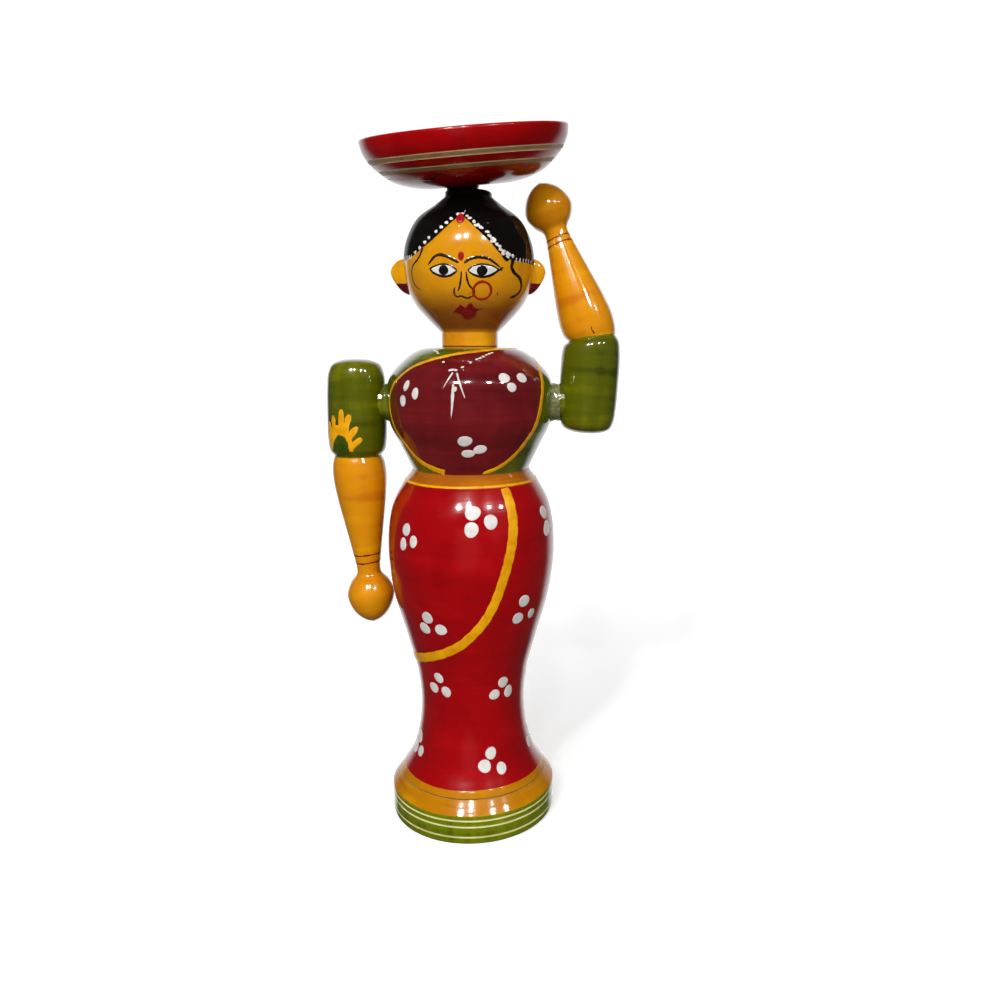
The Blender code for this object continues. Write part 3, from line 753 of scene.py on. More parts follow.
# --------------------------------------------------------------------- skirt
SKIRT_S = Surface(skirt_line())
SKIRT_DOTS = [
    # front, as painted
    (-44.5, 78.6, 1.3, 1.5), (-47, 74.4, 1.2, 1.5), (-37, 75.7, 1.15, 1.4),
    (5, 84.5, 2.0, 1.85), (4, 80, 1.9, 1.85), (17, 81.9, 1.85, 1.8),
    (65.5, 82.1, 1.7, 1.7), (66.5, 77.4, 1.75, 1.9), (78.5, 77.7, 1.6, 1.6),
    (-30, 54, 1.6, 1.65), (-34.5, 50.3, 1.6, 1.6), (-20, 50.7, 1.6, 1.55),
    (43, 58.2, 1.7, 1.6), (39.5, 53.1, 1.7, 1.55), (53, 53.4, 1.2, 1.2),
    (-31.5, 33.9, 1.35, 1.3), (-40, 30.2, 1.4, 1.35), (-24.5, 29.8, 1.3, 1.35),
    (36, 32.2, 1.45, 1.35), (44, 28.7, 1.3, 1.5), (27, 28.8, 1.35, 1.3),
    (-68, 12.3, 1.4, 1.5), (-73, 8.6, 1.5, 1.5), (-59.5, 8.9, 1.3, 1.3),
    (21.5, 11.7, 1.4, 1.4), (14.5, 8.4, 1.55, 1.5), (30.5, 7, 1.3, 1.4),
]
SKIRT_BACK = [(122, 79), (168, 84), (-148, 76), (-100, 82), (98, 52), (150, 57),
              (-150, 56), (-98, 56), (95, 31), (165, 33), (-149, 39), (-92, 31),
              (84, 10), (134, 11), (-143, 8), (-120, 12)]


def skirt_piece():
    r1 = PEG_R + PEG_FIT
    p = ([(0, 27.0 + GAP), (r1, 27.0 + GAP), (r1, 11.9)]
         + resample(skirt_line(), 0.7, (13.5, 99.9))
         + [(r1, 103.1), (r1, 92.0 - GAP), (0, 92.0 - GAP)])

    def region(theta, r, z, k):
        if r < 14.5:
            return 3
        if z < 13.5:
            return 1
        return 2 if z > 99.9 else 0
    obj = turned("skirt_look", p, 176, [RED, BASE_YELLOW, WAIST, WOOD], region)
    dress(obj, "doll", "skirt_lacquer", "skirt")
    m = Marks("skirt_painting", SKIRT_S, "doll", "skirt_lacquer")
    for t, u, ra, rb in SKIRT_DOTS:
        big = 1.06 if ra > 1.75 else 1.12 if ra > 1.55 else 1.2
        m.blob(t, u, ra * big, rb * big * 1.05, WHITE, 0.06, RND.uniform(-20, 20), 0.045)
    for t, u in SKIRT_BACK:
        turn = RND.uniform(-30, 30)
        for q in (90, 210, 330):
            a = math.radians(q + turn)
            r = max(SKIRT_S.radius(u), 1)
            m.blob(t + math.degrees(2.1 * math.cos(a) / r), u + 2.1 * math.sin(a),
                   RND.uniform(1.3, 1.7), RND.uniform(1.3, 1.7), WHITE, 0.06, 0, 0.05)
    m.stroke([(32, 91.0), (33, 88.5), (33.2, 85), (32.8, 80.5), (31, 75.5), (28.2, 70.8),
              (25, 66.2), (21.5, 61.4), (17, 56.8), (11, 52.6), (3, 48.9), (-6, 45.8),
              (-20, 42.9), (-36.5, 40.6), (-55, 38.7), (-75, 37.2), (-98, 35.2),
              (-122, 31.8), (-142, 26.0), (-156, 18.0), (-165, 9.5), (-169, 3.0)],
             3.45, YELLOW, 0.09, ends=(0.8, 0.6), step=0.8, uneven=0.05, cross=9,
             widths=[1.0, 1.0, 0.93, 0.93, 0.93, 1.0, 0.85, 0.9, 0.8, 0.8])
    ring = [(t, 1.75 + 0.10 * math.sin(math.radians(2 * t + 40))
             + 0.05 * math.sin(math.radians(5 * t))) for t in range(-180, 180, 12)]
    m.stroke(ring_closed(SKIRT_S, ring), 0.75, BASE_YELLOW, 0.05, closed=True, step=1.2)
    ring = [(t, 91.7 + 0.10 * math.sin(math.radians(t + 10))
             + 0.05 * math.sin(math.radians(4 * t))) for t in range(-180, 180, 12)]
    m.stroke(ring_closed(SKIRT_S, ring), 0.9, YELLOW, 0.08, closed=True, step=1.2)
    m.done()


def ring_closed(surface, ring):
    """Returns the ring of points for stroke(closed=True) as given; stroke itself joins its ends."""
    return ring


# --------------------------------------------------------------------- torso
TORSO_S = Surface(torso_line())
LEFT_EDGE = [(-20.5, 0.6), (-28, 1.3), (-37.5, 2.4), (-47, 4.3), (-54.5, 7.6), (-60, 11.6),
             (-64, 16), (-66.8, 19.5), (-66, 22.5), (-60, 25.6), (-53, 28.5), (-44, 32),
             (-31, 34.5), (-20, 36), (-8.5, 37.3), (11.5, 38.7), (38, 40.2), (70, 41.0),
             (110, 40.6), (150, 38), (180, 32.5), (203, 25), (218, 15), (230, 6), (235, 0.4)]
RIGHT_EDGE = [(15, 0.4), (27, 1.8), (37, 4.0), (45.5, 7.2), (50.5, 11.1), (54.5, 15),
              (58, 19.3), (60.3, 23), (62, 26.4), (66, 29.6), (74, 32.4), (90, 35.0),
              (112, 34.6), (134, 29.5), (152, 21.5), (168, 12), (180, 4), (184, 0.4)]


def torso_piece():
    r1, r2 = PEG_R + PEG_FIT, 3.5 + PEG_FIT
    line = resample(torso_line(), 0.45)
    head = [(0, 114.5 + GAP), (r1, 114.5 + GAP), (r1, 103.4)]
    p = head + line + [(r2, 138.2), (r2, 129.0 - GAP), (0, 129.0 - GAP)]
    us = [0.0]
    for a, b in zip(line, line[1:]):
        us.append(us[-1] + math.hypot(b[0] - a[0], b[1] - a[1]))
    region_edge = ([(-20.5, -2)] + LEFT_EDGE + [(235, -2), (184, -2)]
                   + RIGHT_EDGE[::-1] + [(15, -2)])

    def region(theta, r, z, k):
        i = k - len(head)
        if i < 0 or i + 1 >= len(us):
            return 2
        u = (us[i] + us[i + 1]) / 2
        return 1 if inside(region_edge, theta, u) or inside(region_edge, theta + 360, u) else 0
    obj = turned("torso_look", p, 220, [GREEN, MAROON, WOOD], region)
    dress(obj, "doll", "blouse_lacquer", "torso")
    m = Marks("torso_painting", TORSO_S, "doll", "blouse_lacquer")
    m.stroke(LEFT_EDGE, 1.5, YELLOW, 0.09, ends=(0.95, 0.8), step=0.7, cross=7,
             widths=[1.5, 1.1, 0.8, 0.85, 1.0, 1.05, 1.1, 1.1, 1.0, 1.0, 1.0])
    m.stroke(RIGHT_EDGE, 1.6, YELLOW, 0.09, ends=(0.5, 0.8), step=0.7, cross=7,
             widths=[0.8, 1.15, 1.2, 1.05, 0.9, 1.0, 1.0, 1.0])
    for t, u, ra, rb, turn in [
            (-42.5, 25.9, 0.9, 1.35, -20), (-34, 23.9, 1.0, 1.35, -15), (-46, 21.8, 1.05, 1.4, 0),
            (27.5, 28.3, 1.45, 1.25, -20), (41.5, 28.2, 1.45, 1.25, -30), (32, 25.6, 1.25, 1.1, 0),
            (0, 11, 1.85, 1.35, 8), (11, 8.3, 1.6, 1.2, 20), (2, 7, 1.55, 1.1, 5)]:
        m.blob(t, u, ra * 1.15, rb * 1.18, WHITE, 0.06, turn, 0.05)
    for t, u in [(150, 27), (172, 19), (196, 12), (205, 22), (128, 33)]:
        for q in (80, 200, 320):
            a = math.radians(q + t)
            m.blob(t + math.degrees(1.75 * math.cos(a) / TORSO_S.radius(u)),
                   u + 1.75 * math.sin(a), 1.2, 1.2, WHITE, 0.06, 0, 0.06)
    chain = [(-36, 39.0), (-31.5, 38.4), (-28.5, 37.6), (-22.5, 35.6), (-17.5, 33.8),
             (-1.5, 31.9), (4.5, 33.6), (10, 34.9), (13, 35.4), (16, 36.0), (19.5, 36.8),
             (22.5, 37.3), (26, 37.8)]
    for t, u in chain:
        m.blob(t, u, RND.uniform(0.4, 0.58), RND.uniform(0.28, 0.4), WHITE, 0.08,
               RND.uniform(10, 40) if t > -5 else RND.uniform(-40, -10), 0.1, 12)
    m.blob(-9.5, 30.9, 0.75, 0.42, WHITE, 0.09, 10, 0.1)
    m.blob(-6.5, 30.9, 0.6, 0.38, WHITE, 0.09, -15, 0.1)
    m.stroke([(-8, 30.0), (-10.5, 27.8), (-13.5, 25.4)], 0.62, WHITE, 0.08, ends=(0.9, 0.1),
             widths=[1.0, 0.8, 0.3])
    m.stroke([(-5.0, 29.9), (-2.6, 26.8), (0.8, 22.9)], 0.66, WHITE, 0.08, ends=(0.9, 0.1),
             widths=[0.9, 1.0, 0.4])
    m.stroke([(-6.8, 26.6), (-7.2, 22.8), (-8.3, 17.6)], 0.95, WHITE, 0.09, ends=(0.6, 0.05),
             widths=[0.7, 1.1, 0.7, 0.2])
    m.blob(-6.0, 25.2, 0.62, 0.8, WHITE, 0.09, -30, 0.15, 12)
    # hair-thin necklace strand high on the shoulder
    m.stroke([(-44, 40.2), (-38, 39.4), (-33, 38.7)], 0.3, WHITE, 0.05, ends=(0.4, 0.4))
    m.done()


# ---------------------------------------------------------------------- head
HEAD_S = Surface(head_line())
HAIRLINE = [(-180, 10.5), (-150, 11.5), (-125, 16.0), (-108, 23.0), (-94, 27.0), (-80, 26.9),
            (-64, 26.8), (-47, 27.9), (-36.5, 29.7), (-28.5, 31.2), (-18.5, 34.2),
            (-10, 36.9), (-3.5, 38.5), (3.5, 36.7), (10, 34.5), (18.5, 31.9),
            (25, 29.6), (30.5, 27.7), (35, 26.6), (44.5, 26.2), (55, 26.0), (72.5, 25.8),
            (94, 26.4), (108, 22.5), (125, 15.5), (150, 11.3), (180, 10.5)]
DOTS_LEFT = [(-7, 39), (-13, 37.5), (-17, 36.3), (-21.5, 35), (-26, 33.8), (-32.5, 32.2),
             (-36.5, 31), (-42, 29.6), (-47.5, 28.6)]
DOTS_RIGHT = [(5, 37.6), (9, 36.5), (10.5, 35.4), (12.5, 35.5), (15, 34.8), (20.5, 33.6),
              (22, 32.5), (24.5, 31.8), (23.5, 31.0), (26, 31.1), (28, 30.3), (30.5, 29.8),
              (31, 29), (34, 28.6), (33.5, 27.9), (37.5, 28.1), (38, 27.2), (40, 27.8),
              (43.5, 27.5)]


def hair_shell():
    """Black lac over the crown, bun and nape: a thin closed coat whose lower
    edge is the painted hairline."""
    cols = 288
    angles = [-180 + 360.0 * i / cols for i in range(cols)]

    def edge(t):
        for (t0, u0), (t1, u1) in zip(HAIRLINE, HAIRLINE[1:]):
            if t0 <= t <= t1:
                return u0 + (u1 - u0) * (t - t0) / (t1 - t0)
        return HAIRLINE[-1][1]
    low = [edge(t) for t in angles]
    soft = low[:]
    for i, t in enumerate(angles):
        if abs(t + 3.5) > 4:
            soft[i] = (low[i - 2] + low[i - 1] + low[i] + low[(i + 1) % cols]
                       + low[(i + 2) % cols]) / 5
    bm = bmesh.new()
    top = HEAD_S.length
    rows = 46
    outer, inner = [], []
    for k in range(rows + 1):
        f = k / rows
        ring_o, ring_i = [], []
        for t, u0 in zip(angles, soft):
            u = u0 if k == 0 else u0 + 0.12 + (top - u0 - 0.12) * (f - 1 / rows) / (1 - 1 / rows)
            h = -0.04 if k == 0 else 0.06
            ring_o.append(bm.verts.new(HEAD_S.point(t, u, h)))
            ring_i.append(bm.verts.new(HEAD_S.point(t, u + (0.1 if k == 0 else 0), -0.35)))
        outer.append(ring_o)
        inner.append(ring_i)
    crown = [bm.verts.new((2.1 * math.sin(math.radians(t)), -2.1 * math.cos(math.radians(t)),
                           BUN_TOP + 0.06)) for t in angles]
    under = [bm.verts.new((2.1 * math.sin(math.radians(t)), -2.1 * math.cos(math.radians(t)),
                           BUN_TOP - 0.35)) for t in angles]
    outer.append(crown)
    inner.append(under)
    for i in range(cols):
        j = (i + 1) % cols
        for a, b in zip(outer, outer[1:]):
            bm.faces.new((a[i], a[j], b[j], b[i]))
        for a, b in zip(inner, inner[1:]):
            bm.faces.new((a[j], a[i], b[i], b[j]))
        bm.faces.new((outer[0][j], outer[0][i], inner[0][i], inner[0][j]))
        bm.faces.new((outer[-1][i], outer[-1][j], inner[-1][j], inner[-1][i]))
    obj = finish_mesh("hair_coat", bm, ONE, [BLACK], 50)
    return dress(obj, "head", "head_lacquer")


def head_piece():
    r = 3.5 + PEG_FIT
    p = ([(0, 148.0 + GAP), (r, 148.0 + GAP), (r, NECK_SEAM)]
         + resample(head_line(), 0.6) + [(0, BUN_TOP)])
    obj = turned("head_look", p, 168, [FACE, WOOD, BLACK],
                 lambda t, r_, z, k: 1 if k < 2 else 2 if z > 178.5 else 0)
    dress(obj, "head", "head_lacquer", "head")
    hair_shell()

    m = Marks("face_painting", HEAD_S, "head", "head_lacquer")
    # eyes: white, iris, then the drawn lids
    for outline, iris, ir, lids in (
            ([(-29.5, 23.7), (-24.5, 24.6), (-18, 25.0), (-11.5, 24.5), (-6.5, 23.4),
              (-10.5, 22.2), (-17.5, 21.5), (-24.5, 22.2)], (-17.6, 23.3), (1.4, 1.55),
             (-18, 23.3)),
            ([(3.5, 23.3), (8.5, 24.5), (15, 24.9), (22.5, 24.5), (29.5, 23.6),
              (24, 22.1), (15.5, 21.4), (8.5, 21.9)], (14.8, 23.15), (1.5, 1.6),
             (15.5, 23.2))):
        outline = [(t, 23.25 + (u - 23.25) * 0.84) for t, u in outline]
        m.shape(outline, WHITE, 0.07, centre=lids)
        m.blob(iris[0], iris[1], ir[0], ir[1] * 0.9, INK, 0.14, 0, 0.02)
    m.stroke([(-30.6, 23.8), (-27.5, 24.2), (-22, 24.7), (-17.5, 24.85), (-12, 24.5), (-6.0, 23.2)],
             0.62, INK, 0.10, ends=(0.5, 0.5))
    m.stroke([(-31.2, 23.9), (-28, 22.9), (-23, 22.1), (-17.5, 21.7), (-12, 21.9), (-8.2, 22.6),
              (-5.6, 23.1)], 0.9, INK, 0.10, ends=(0.5, 0.5), widths=[0.7, 1.1, 1.0, 0.7])
    m.stroke([(2.8, 23.1), (7, 24.2), (12, 24.7), (17, 24.8), (23, 24.5), (28, 23.8), (33, 23.4)],
             0.62, INK, 0.10, ends=(0.5, 0.4))
    m.stroke([(2.8, 23.2), (6, 22.4), (10.5, 21.8), (15.5, 21.55), (21, 21.9), (26, 22.7),
              (30, 23.6), (34, 24.2)], 0.9, INK, 0.10, ends=(0.5, 0.4),
             widths=[0.6, 1.0, 1.15, 0.8])
    m.stroke([(-32.5, 24.7), (-29, 25.9), (-25.5, 26.9), (-20.5, 27.3), (-15, 26.9), (-9, 26.0),
              (-4.5, 25.1)], 1.0, BROWN_INK, 0.09, ends=(0.35, 0.5),
             widths=[0.5, 0.9, 1.1, 1.1, 0.8])
    m.stroke([(0, 25.0), (4, 26.0), (9, 26.5), (14.5, 26.6), (20, 26.3), (25, 25.4),
              (29.5, 24.4), (32.5, 23.6)], 1.0, BROWN_INK, 0.09, ends=(0.5, 0.3),
             widths=[0.8, 1.1, 1.1, 0.8, 0.5])
    # nose
    m.stroke([(-2.5, 23.0), (-2.8, 21.4), (-3.8, 19.8), (-4.8, 18.6), (-6.4, 17.7)], 0.6,
             BROWN_INK, 0.08, ends=(0.3, 0.6))
    m.stroke([(-8.7, 18.7), (-9.8, 17.9), (-9.9, 17.0), (-8.8, 16.3), (-7, 16.0), (-4.6, 16.3),
              (-2.6, 16.2), (-0.2, 15.8), (3.6, 15.7), (5.6, 16.2)], 0.66, BROWN_INK, 0.08,
             ends=(0.4, 0.7), widths=[0.8, 1.1, 1.0, 1.0, 1.1, 1.2])
    m.stroke([(1.4, 23.0), (2.0, 21.4), (3.2, 19.8), (5.2, 18.8), (7.6, 18.1), (8.8, 17.4),
              (7.9, 16.5), (5.8, 16.0)], 0.66, BROWN_INK, 0.08, ends=(0.3, 0.6),
             widths=[0.7, 1.1, 1.1, 0.9, 0.8])
    # nose ring
    ring = []
    for i in range(24):
        a = 2 * math.pi * i / 24
        ring.append((15.8 + math.degrees(2.45 * math.cos(a) / HEAD_S.radius(17.8 + 2.45 * math.sin(a))),
                     17.8 + 2.45 * math.sin(a)))
    m.stroke(ring, 0.92, RING_RED, 0.10, closed=True, step=0.4, uneven=0.12)
    # lips
    m.shape([(-13.5, 11.3), (-11, 12.3), (-8.2, 12.9), (-6, 13.8), (-3.6, 13.4), (-0.8, 12.7),
             (1.4, 13.2), (3.8, 14.2), (6.6, 14.1), (8.8, 13.0), (12.5, 12.5), (16.5, 12.4),
             (13, 11.5), (11.4, 10.4), (10.6, 9.6), (6.5, 8.9), (2.5, 8.5), (-2.0, 8.8),
             (-4.5, 9.7), (-7.5, 10.6)],
            LIP, 0.12, centre=(1.5, 11.2))
    m.stroke([(-15.5, 11.2), (-11, 11.5), (-6, 11.3), (0, 11.0), (6, 11.4), (12, 12.0), (19.5, 12.5)],
             0.5, LIP_LINE, 0.16, ends=(0.3, 0.3), widths=[0.8, 1.0, 0.8, 1.0, 0.7])
    # forehead marks
    m.blob(-2.5, 26.9, 0.82, 1.2, CRIMSON, 0.13, -4, 0.03)
    m.shape([(-3.9, 39.2), (-0.9, 38.3), (0.1, 37.3), (-1.0, 36.3), (-4.0, 35.8), (-7.0, 36.3),
             (-8.1, 37.3), (-7.0, 38.3)], CRIMSON, 0.24, centre=(-4.0, 37.4))
    # hair drawn over the face
    m.stroke([(-38.5, 29.4), (-40, 28.3), (-42, 27.2), (-46, 26.2), (-51, 25.2), (-54, 24.0),
              (-55, 22.6), (-54.6, 21.0), (-52.4, 19.6), (-46.5, 18.3)], 0.75, BROWN_INK, 0.08,
             ends=(0.9, 0.2), widths=[1.3, 1.0, 0.8, 0.8, 0.6])
    m.blob(36.2, 27.2, 1.25, 1.3, BLACK, 0.10, 0, 0.1)
    m.stroke([(40.0, 28.0), (43, 26.8), (43.2, 25.6), (42.4, 24.6), (44, 23.6), (47, 22.8),
              (51.5, 22.1), (55.5, 21.2), (57.8, 20.0), (58.8, 18.8), (57.6, 17.6), (53, 16.6),
              (47, 16.1)], 1.25, INK, 0.08, ends=(0.9, 0.4),
             widths=[1.2, 1.2, 1.0, 1.1, 1.1, 0.8])
    m.blob(31, 17.0, 0.22, 0.34, BROWN_INK, 0.05, 20, 0.2, 10)
    m.blob(51.5, 24.0, 0.18, 0.24, BROWN_INK, 0.05, 0, 0.2, 10)
    # white beads along the parting
    for t, u in DOTS_LEFT:
        m.blob(t, u - 0.15, RND.uniform(0.46, 0.56), RND.uniform(0.46, 0.58), WHITE, 0.18,
               35, 0.1, 12)
    for t, u in DOTS_RIGHT:
        m.blob(t, u - 0.15, RND.uniform(0.46, 0.66), RND.uniform(0.42, 0.54), WHITE, 0.18,
               RND.uniform(-50, 10), 0.14, 12)
    m.blob(-2.8, 39.0, 0.55, 0.4, WHITE, 0.16, 0, 0.1, 12)
    m.blob(2.5, 38.2, 0.42, 0.38, WHITE, 0.16, 0, 0.1, 12)
    for t in (-54, -57.5, -61, -65, -70, -76):
        m.stroke([(t - 1.0, 26.8), (t + 1.0, 28.0)], 0.36, WHITE, 0.14, ends=(0.6, 0.6))
    for t in (48, 52.5, 57, 61.5, 66.5, 72):
        m.stroke([(t, 27.0), (t - 0.6, 26.0)], 0.5, WHITE, 0.14, ends=(0.6, 0.6))
    m.stroke([(0.6, 40.4), (-0.2, 39.6), (-1.0, 38.9)], 0.22, WHITE, 0.12, ends=(0.3, 0.5))
    m.done()


def ear_piece(word, side, out_to):
    bm = bmesh.new()
    top_z, lobe_z, depth = 163.2, 152.8, 5.2
    mid, half = 0.5 * (top_z + lobe_z), 0.5 * (top_z - lobe_z)
    reach = out_to - 15.0
    rows, cols = 40, 36
    rings = []
    for i in range(1, rows):
        t = math.pi * i / rows
        z = mid - half * math.cos(t)
        full = math.sin(t) ** 0.55
        u = (z - lobe_z) / (2 * half)
        out = reach * full * (0.66 + 0.34 * min(1.0, u / 0.62))
        thick = 0.5 * depth * full * (0.60 + 0.40 * u)
        rings.append([bm.verts.new((side * (15.0 + out * math.cos(-math.pi / 2 + math.pi * k / cols)),
                                    thick * math.sin(-math.pi / 2 + math.pi * k / cols), z))
                      for k in range(cols + 1)])
    low = bm.verts.new((side * 15.4, 0, lobe_z))
    high = bm.verts.new((side * 15.4, 0, top_z))

    def colour(z):
        return 1 if z < 155.9 else 0
    for a, b in zip(rings, rings[1:]):
        for k in range(cols + 1):
            j = (k + 1) % (cols + 1)
            f = bm.faces.new((a[k], a[j], b[j], b[k]))
            f.material_index = colour((a[k].co.z + b[k].co.z) / 2)
    for k in range(cols + 1):
        j = (k + 1) % (cols + 1)
        bm.faces.new((low, rings[0][j], rings[0][k])).material_index = 1
        bm.faces.new((high, rings[-1][k], rings[-1][j]))
    obj = finish_mesh("ear_%s_look" % word, bm, ONE, [EAR, LOBE])
    return dress(obj, "head", "ear_lacquer", "ear_" + word)


# ---------------------------------------------------------------------- dish
def dish_piece():
    wall = dish_wall()
    cuts = [(6.50, 0.12, 0.14), (5.40, 0.20, 0.22), (3.38, 0.14, 0.16), (2.80, 0.42, 0.12)]
    outer = cut_grooves(resample(wall, 0.6, (5.70, 6.30)), cuts)
    lip_in = DISH_R - DISH_LIP
    inner = curve_through([(lip_in, DISH_HEIGHT - 0.5), (lip_in - 1.6, 0.66 * DISH_HEIGHT),
                           (lip_in - 5.4, 0.42 * DISH_HEIGHT), (DISH_FLOOR_R, DISH_FLOOR)], 8)
    lip = [(DISH_R - 0.12, DISH_HEIGHT - 0.35), (DISH_R - 0.35, DISH_HEIGHT - 0.1),
           (DISH_R - 0.8, DISH_HEIGHT), (lip_in + 0.3, DISH_HEIGHT - 0.1)]
    floor = [(DISH_FLOOR_R - k * 2.0, DISH_FLOOR - 0.02 * math.sin(k)) for k in range(1, 8)]
    p = ([(0, -DISH_FOOT_DROP)] + outer + lip + inner + floor + [(0, DISH_FLOOR)])
    n_out = len(outer) + 1

    def region(theta, r, z, k):
        if 1 <= k < n_out - 1:
            if 6.38 < z < 6.62 or 5.20 < z < 5.62 or 3.24 < z < 3.52:
                return 1
            if 5.62 < z < 6.38 or 2.38 < z < 3.24:
                return 2
        return 0
    obj = turned("dish_look", p, 192, [DISH_RED, TAN, TAN_DARK], region, DISH_AT)
    dress(obj, "head", "dish_lacquer", "dish")
    s = Surface(dish_wall(), DISH_AT)
    m = Marks("dish_wear", s, "head", "dish_lacquer")
    foot = s.u[0]
    # a cream thread low on the front left, running into a dark bruise
    m.stroke([(-84, 14.2), (-68, 13.9), (-56, 13.6), (-49, 13.4), (-41, 13.0), (-34, 12.6)], 0.5,
             TAN, 0.04, ends=(0.2, 0.4), uneven=0.3)
    m.stroke([(-34, 12.5), (-31, 12.1), (-28, 11.9), (-24, 12.4), (-20, 13.2), (-16.5, 14.1),
              (-14.2, 14.9)], 1.05, BROWN_INK, 0.04, ends=(0.15, 0.15), uneven=0.3,
             widths=[0.5, 1.1, 1.4, 1.0, 0.8, 0.7])
    m.stroke([(-32, 14.3), (-31, 13.4), (-29.5, 12.4)], 0.5, BROWN_INK, 0.04, ends=(0.1, 0.6),
             uneven=0.3)
    m.stroke([(-15.5, 14.2), (-14.0, 13.5), (-13.2, 12.7)], 0.55, BROWN_INK, 0.04,
             ends=(0.6, 0.1), uneven=0.3)
    m.stroke([(-27, 12.0), (-25.5, 11.4), (-23, 11.6)], 0.6, BROWN_INK, 0.04, ends=(0.3, 0.1),
             uneven=0.3)
    m.done()


def dish_collar():
    """Black lac and glue squeezed between the bun and the leaning dish."""
    bm = bmesh.new()
    cols, rows = 72, 6
    rings = []
    for k in range(rows + 1):
        f = k / rows
        ring = []
        for i in range(cols):
            a = 2 * math.pi * i / cols
            r = 4.75 - 0.35 * math.sin(math.pi * f) + 0.07 * math.sin(5 * a + 3 * f)
            low = Vector((-1.9 + r * math.cos(a), r * math.sin(a), 181.3))
            high = DISH_AT @ (Vector((-1.8 + r * math.cos(a), r * math.sin(a), -2.12)) * MM) / MM
            ring.append(bm.verts.new(low.lerp(high, f)))
        rings.append(ring)
    for a, b in zip(rings, rings[1:]):
        for i in range(cols):
            j = (i + 1) % cols
            bm.faces.new((a[i], a[j], b[j], b[i]))
    bm.faces.new(list(reversed(rings[0])))
    bm.faces.new(rings[-1])
    dress(finish_mesh("dish_collar", bm, ONE, [BLACK], 60), "head", "head_lacquer")


# ---------------------------------------------------------------------- arms
def arm(word, body, upper_len, fore_len, upper_at, fore_at, upper_warp, fore_warp):
    p = [(0, 0)] + resample(upper_line(upper_len), 0.6)
    obj = turned("upper_arm_%s_look" % word, p, 112, [SLEEVE], None, upper_at, upper_warp)
    dress(obj, body, "sleeve_lacquer", "upper_arm_" + word)
    p = [(0, 0)] + resample(forearm_line(fore_len), 0.6)
    obj = turned("forearm_%s_look" % word, p, 112, [ARM], None, fore_at, fore_warp)
    dress(obj, body, "arm_lacquer", "forearm_" + word)
    return (Surface(upper_line(upper_len), upper_at, upper_warp),
            Surface(forearm_line(fore_len), fore_at, fore_warp))


def arms():
    up_r, fo_r = arm("right", "arm_right", 27.9, 50.5, R_UPPER_AT, R_FORE_AT,
                     None, mitre(R_HANG, (0, 0, 1)))
    m = Marks("sleeve_right_painting", up_r, "arm_right", "sleeve_lacquer")
    # a half sun standing on the hem, a green dome in its middle
    m.shape([(-58, 2.2), (-58, 6.0), (-55, 8.4), (-46, 9.4), (-34, 9.8), (-22, 9.6), (-12, 8.8),
             (-4, 7.4), (1, 5.4), (3.5, 3.4), (2, 2.1), (-6.5, 2.2), (-28, 2.2), (-50, 2.0)],
            YELLOW, 0.08, centre=(-28, 4.2), step=0.4)
    for line, w in (([(-46, 6), (-52, 8.2), (-54, 10.6)], 2.0), ([(-34, 6), (-39, 9.4), (-40.5, 12.4)], 2.0),
                    ([(-21.5, 6.5), (-20.5, 10), (-19.5, 14.2)], 2.1),
                    ([(-15, 6.5), (-9.5, 9.6), (-3.0, 12.8)], 2.1),
                    ([(-9.5, 5.3), (1, 7.4), (11.5, 9.3)], 2.05), ([(-7, 3.2), (7, 4.6), (19.0, 6.0)], 2.05)):
        m.stroke(line, w, YELLOW, 0.09, ends=(0.6, 0.45), step=0.3, cross=7,
                 widths=[1.25, 1.0, 1.08])
    m.shape([(-51, 1.5), (-46, 3.4), (-38, 5.4), (-29, 6.9), (-22, 7.1), (-14, 6.6), (-8.2, 5.2),
             (-5.8, 3.4), (-7, 1.5), (-28, 1.3)], LEAF, 0.13, centre=(-27, 3.6), step=0.35)
    m.done()
    m = Marks("forearm_right_painting", fo_r, "arm_right", "arm_lacquer")
    for u, tilt in ((29.6, 0.10), (32.1, 0.12)):
        m.stroke([(t, u + tilt * math.sin(math.radians(t + 30))
                   + 0.05 * math.sin(math.radians(3 * t))) for t in range(-180, 180, 20)],
                 0.72, BANGLE, 0.06, closed=True, step=0.8, uneven=0.25)
    m.done()

    up_l, fo_l = arm("left", "arm_left", 27.6, 46.8, L_UPPER_AT, L_FORE_AT,
                     mitre(L_TURNED, L_SEAM), mitre(L_LIFTED, L_SEAM))
    m = Marks("forearm_left_painting", fo_l, "arm_left", "arm_lacquer")
    for u, tilt in ((30.5, 0.15), (28.7, 0.15)):
        m.stroke([(t, u + tilt * math.sin(math.radians(2 * t + 30))) for t in range(-180, 180, 20)],
                 0.62, BANGLE, 0.06, closed=True, step=0.8, uneven=0.25)
    # the open check in the wood, filled dark
    m.stroke([(1.6, 2.9), (0.2, 1.9), (2.0, 1.2), (3.2, 0.5)], 0.42, BROWN_INK, 0.04,
             ends=(0.15, 0.15), step=0.25, uneven=0.3)
    m.done()


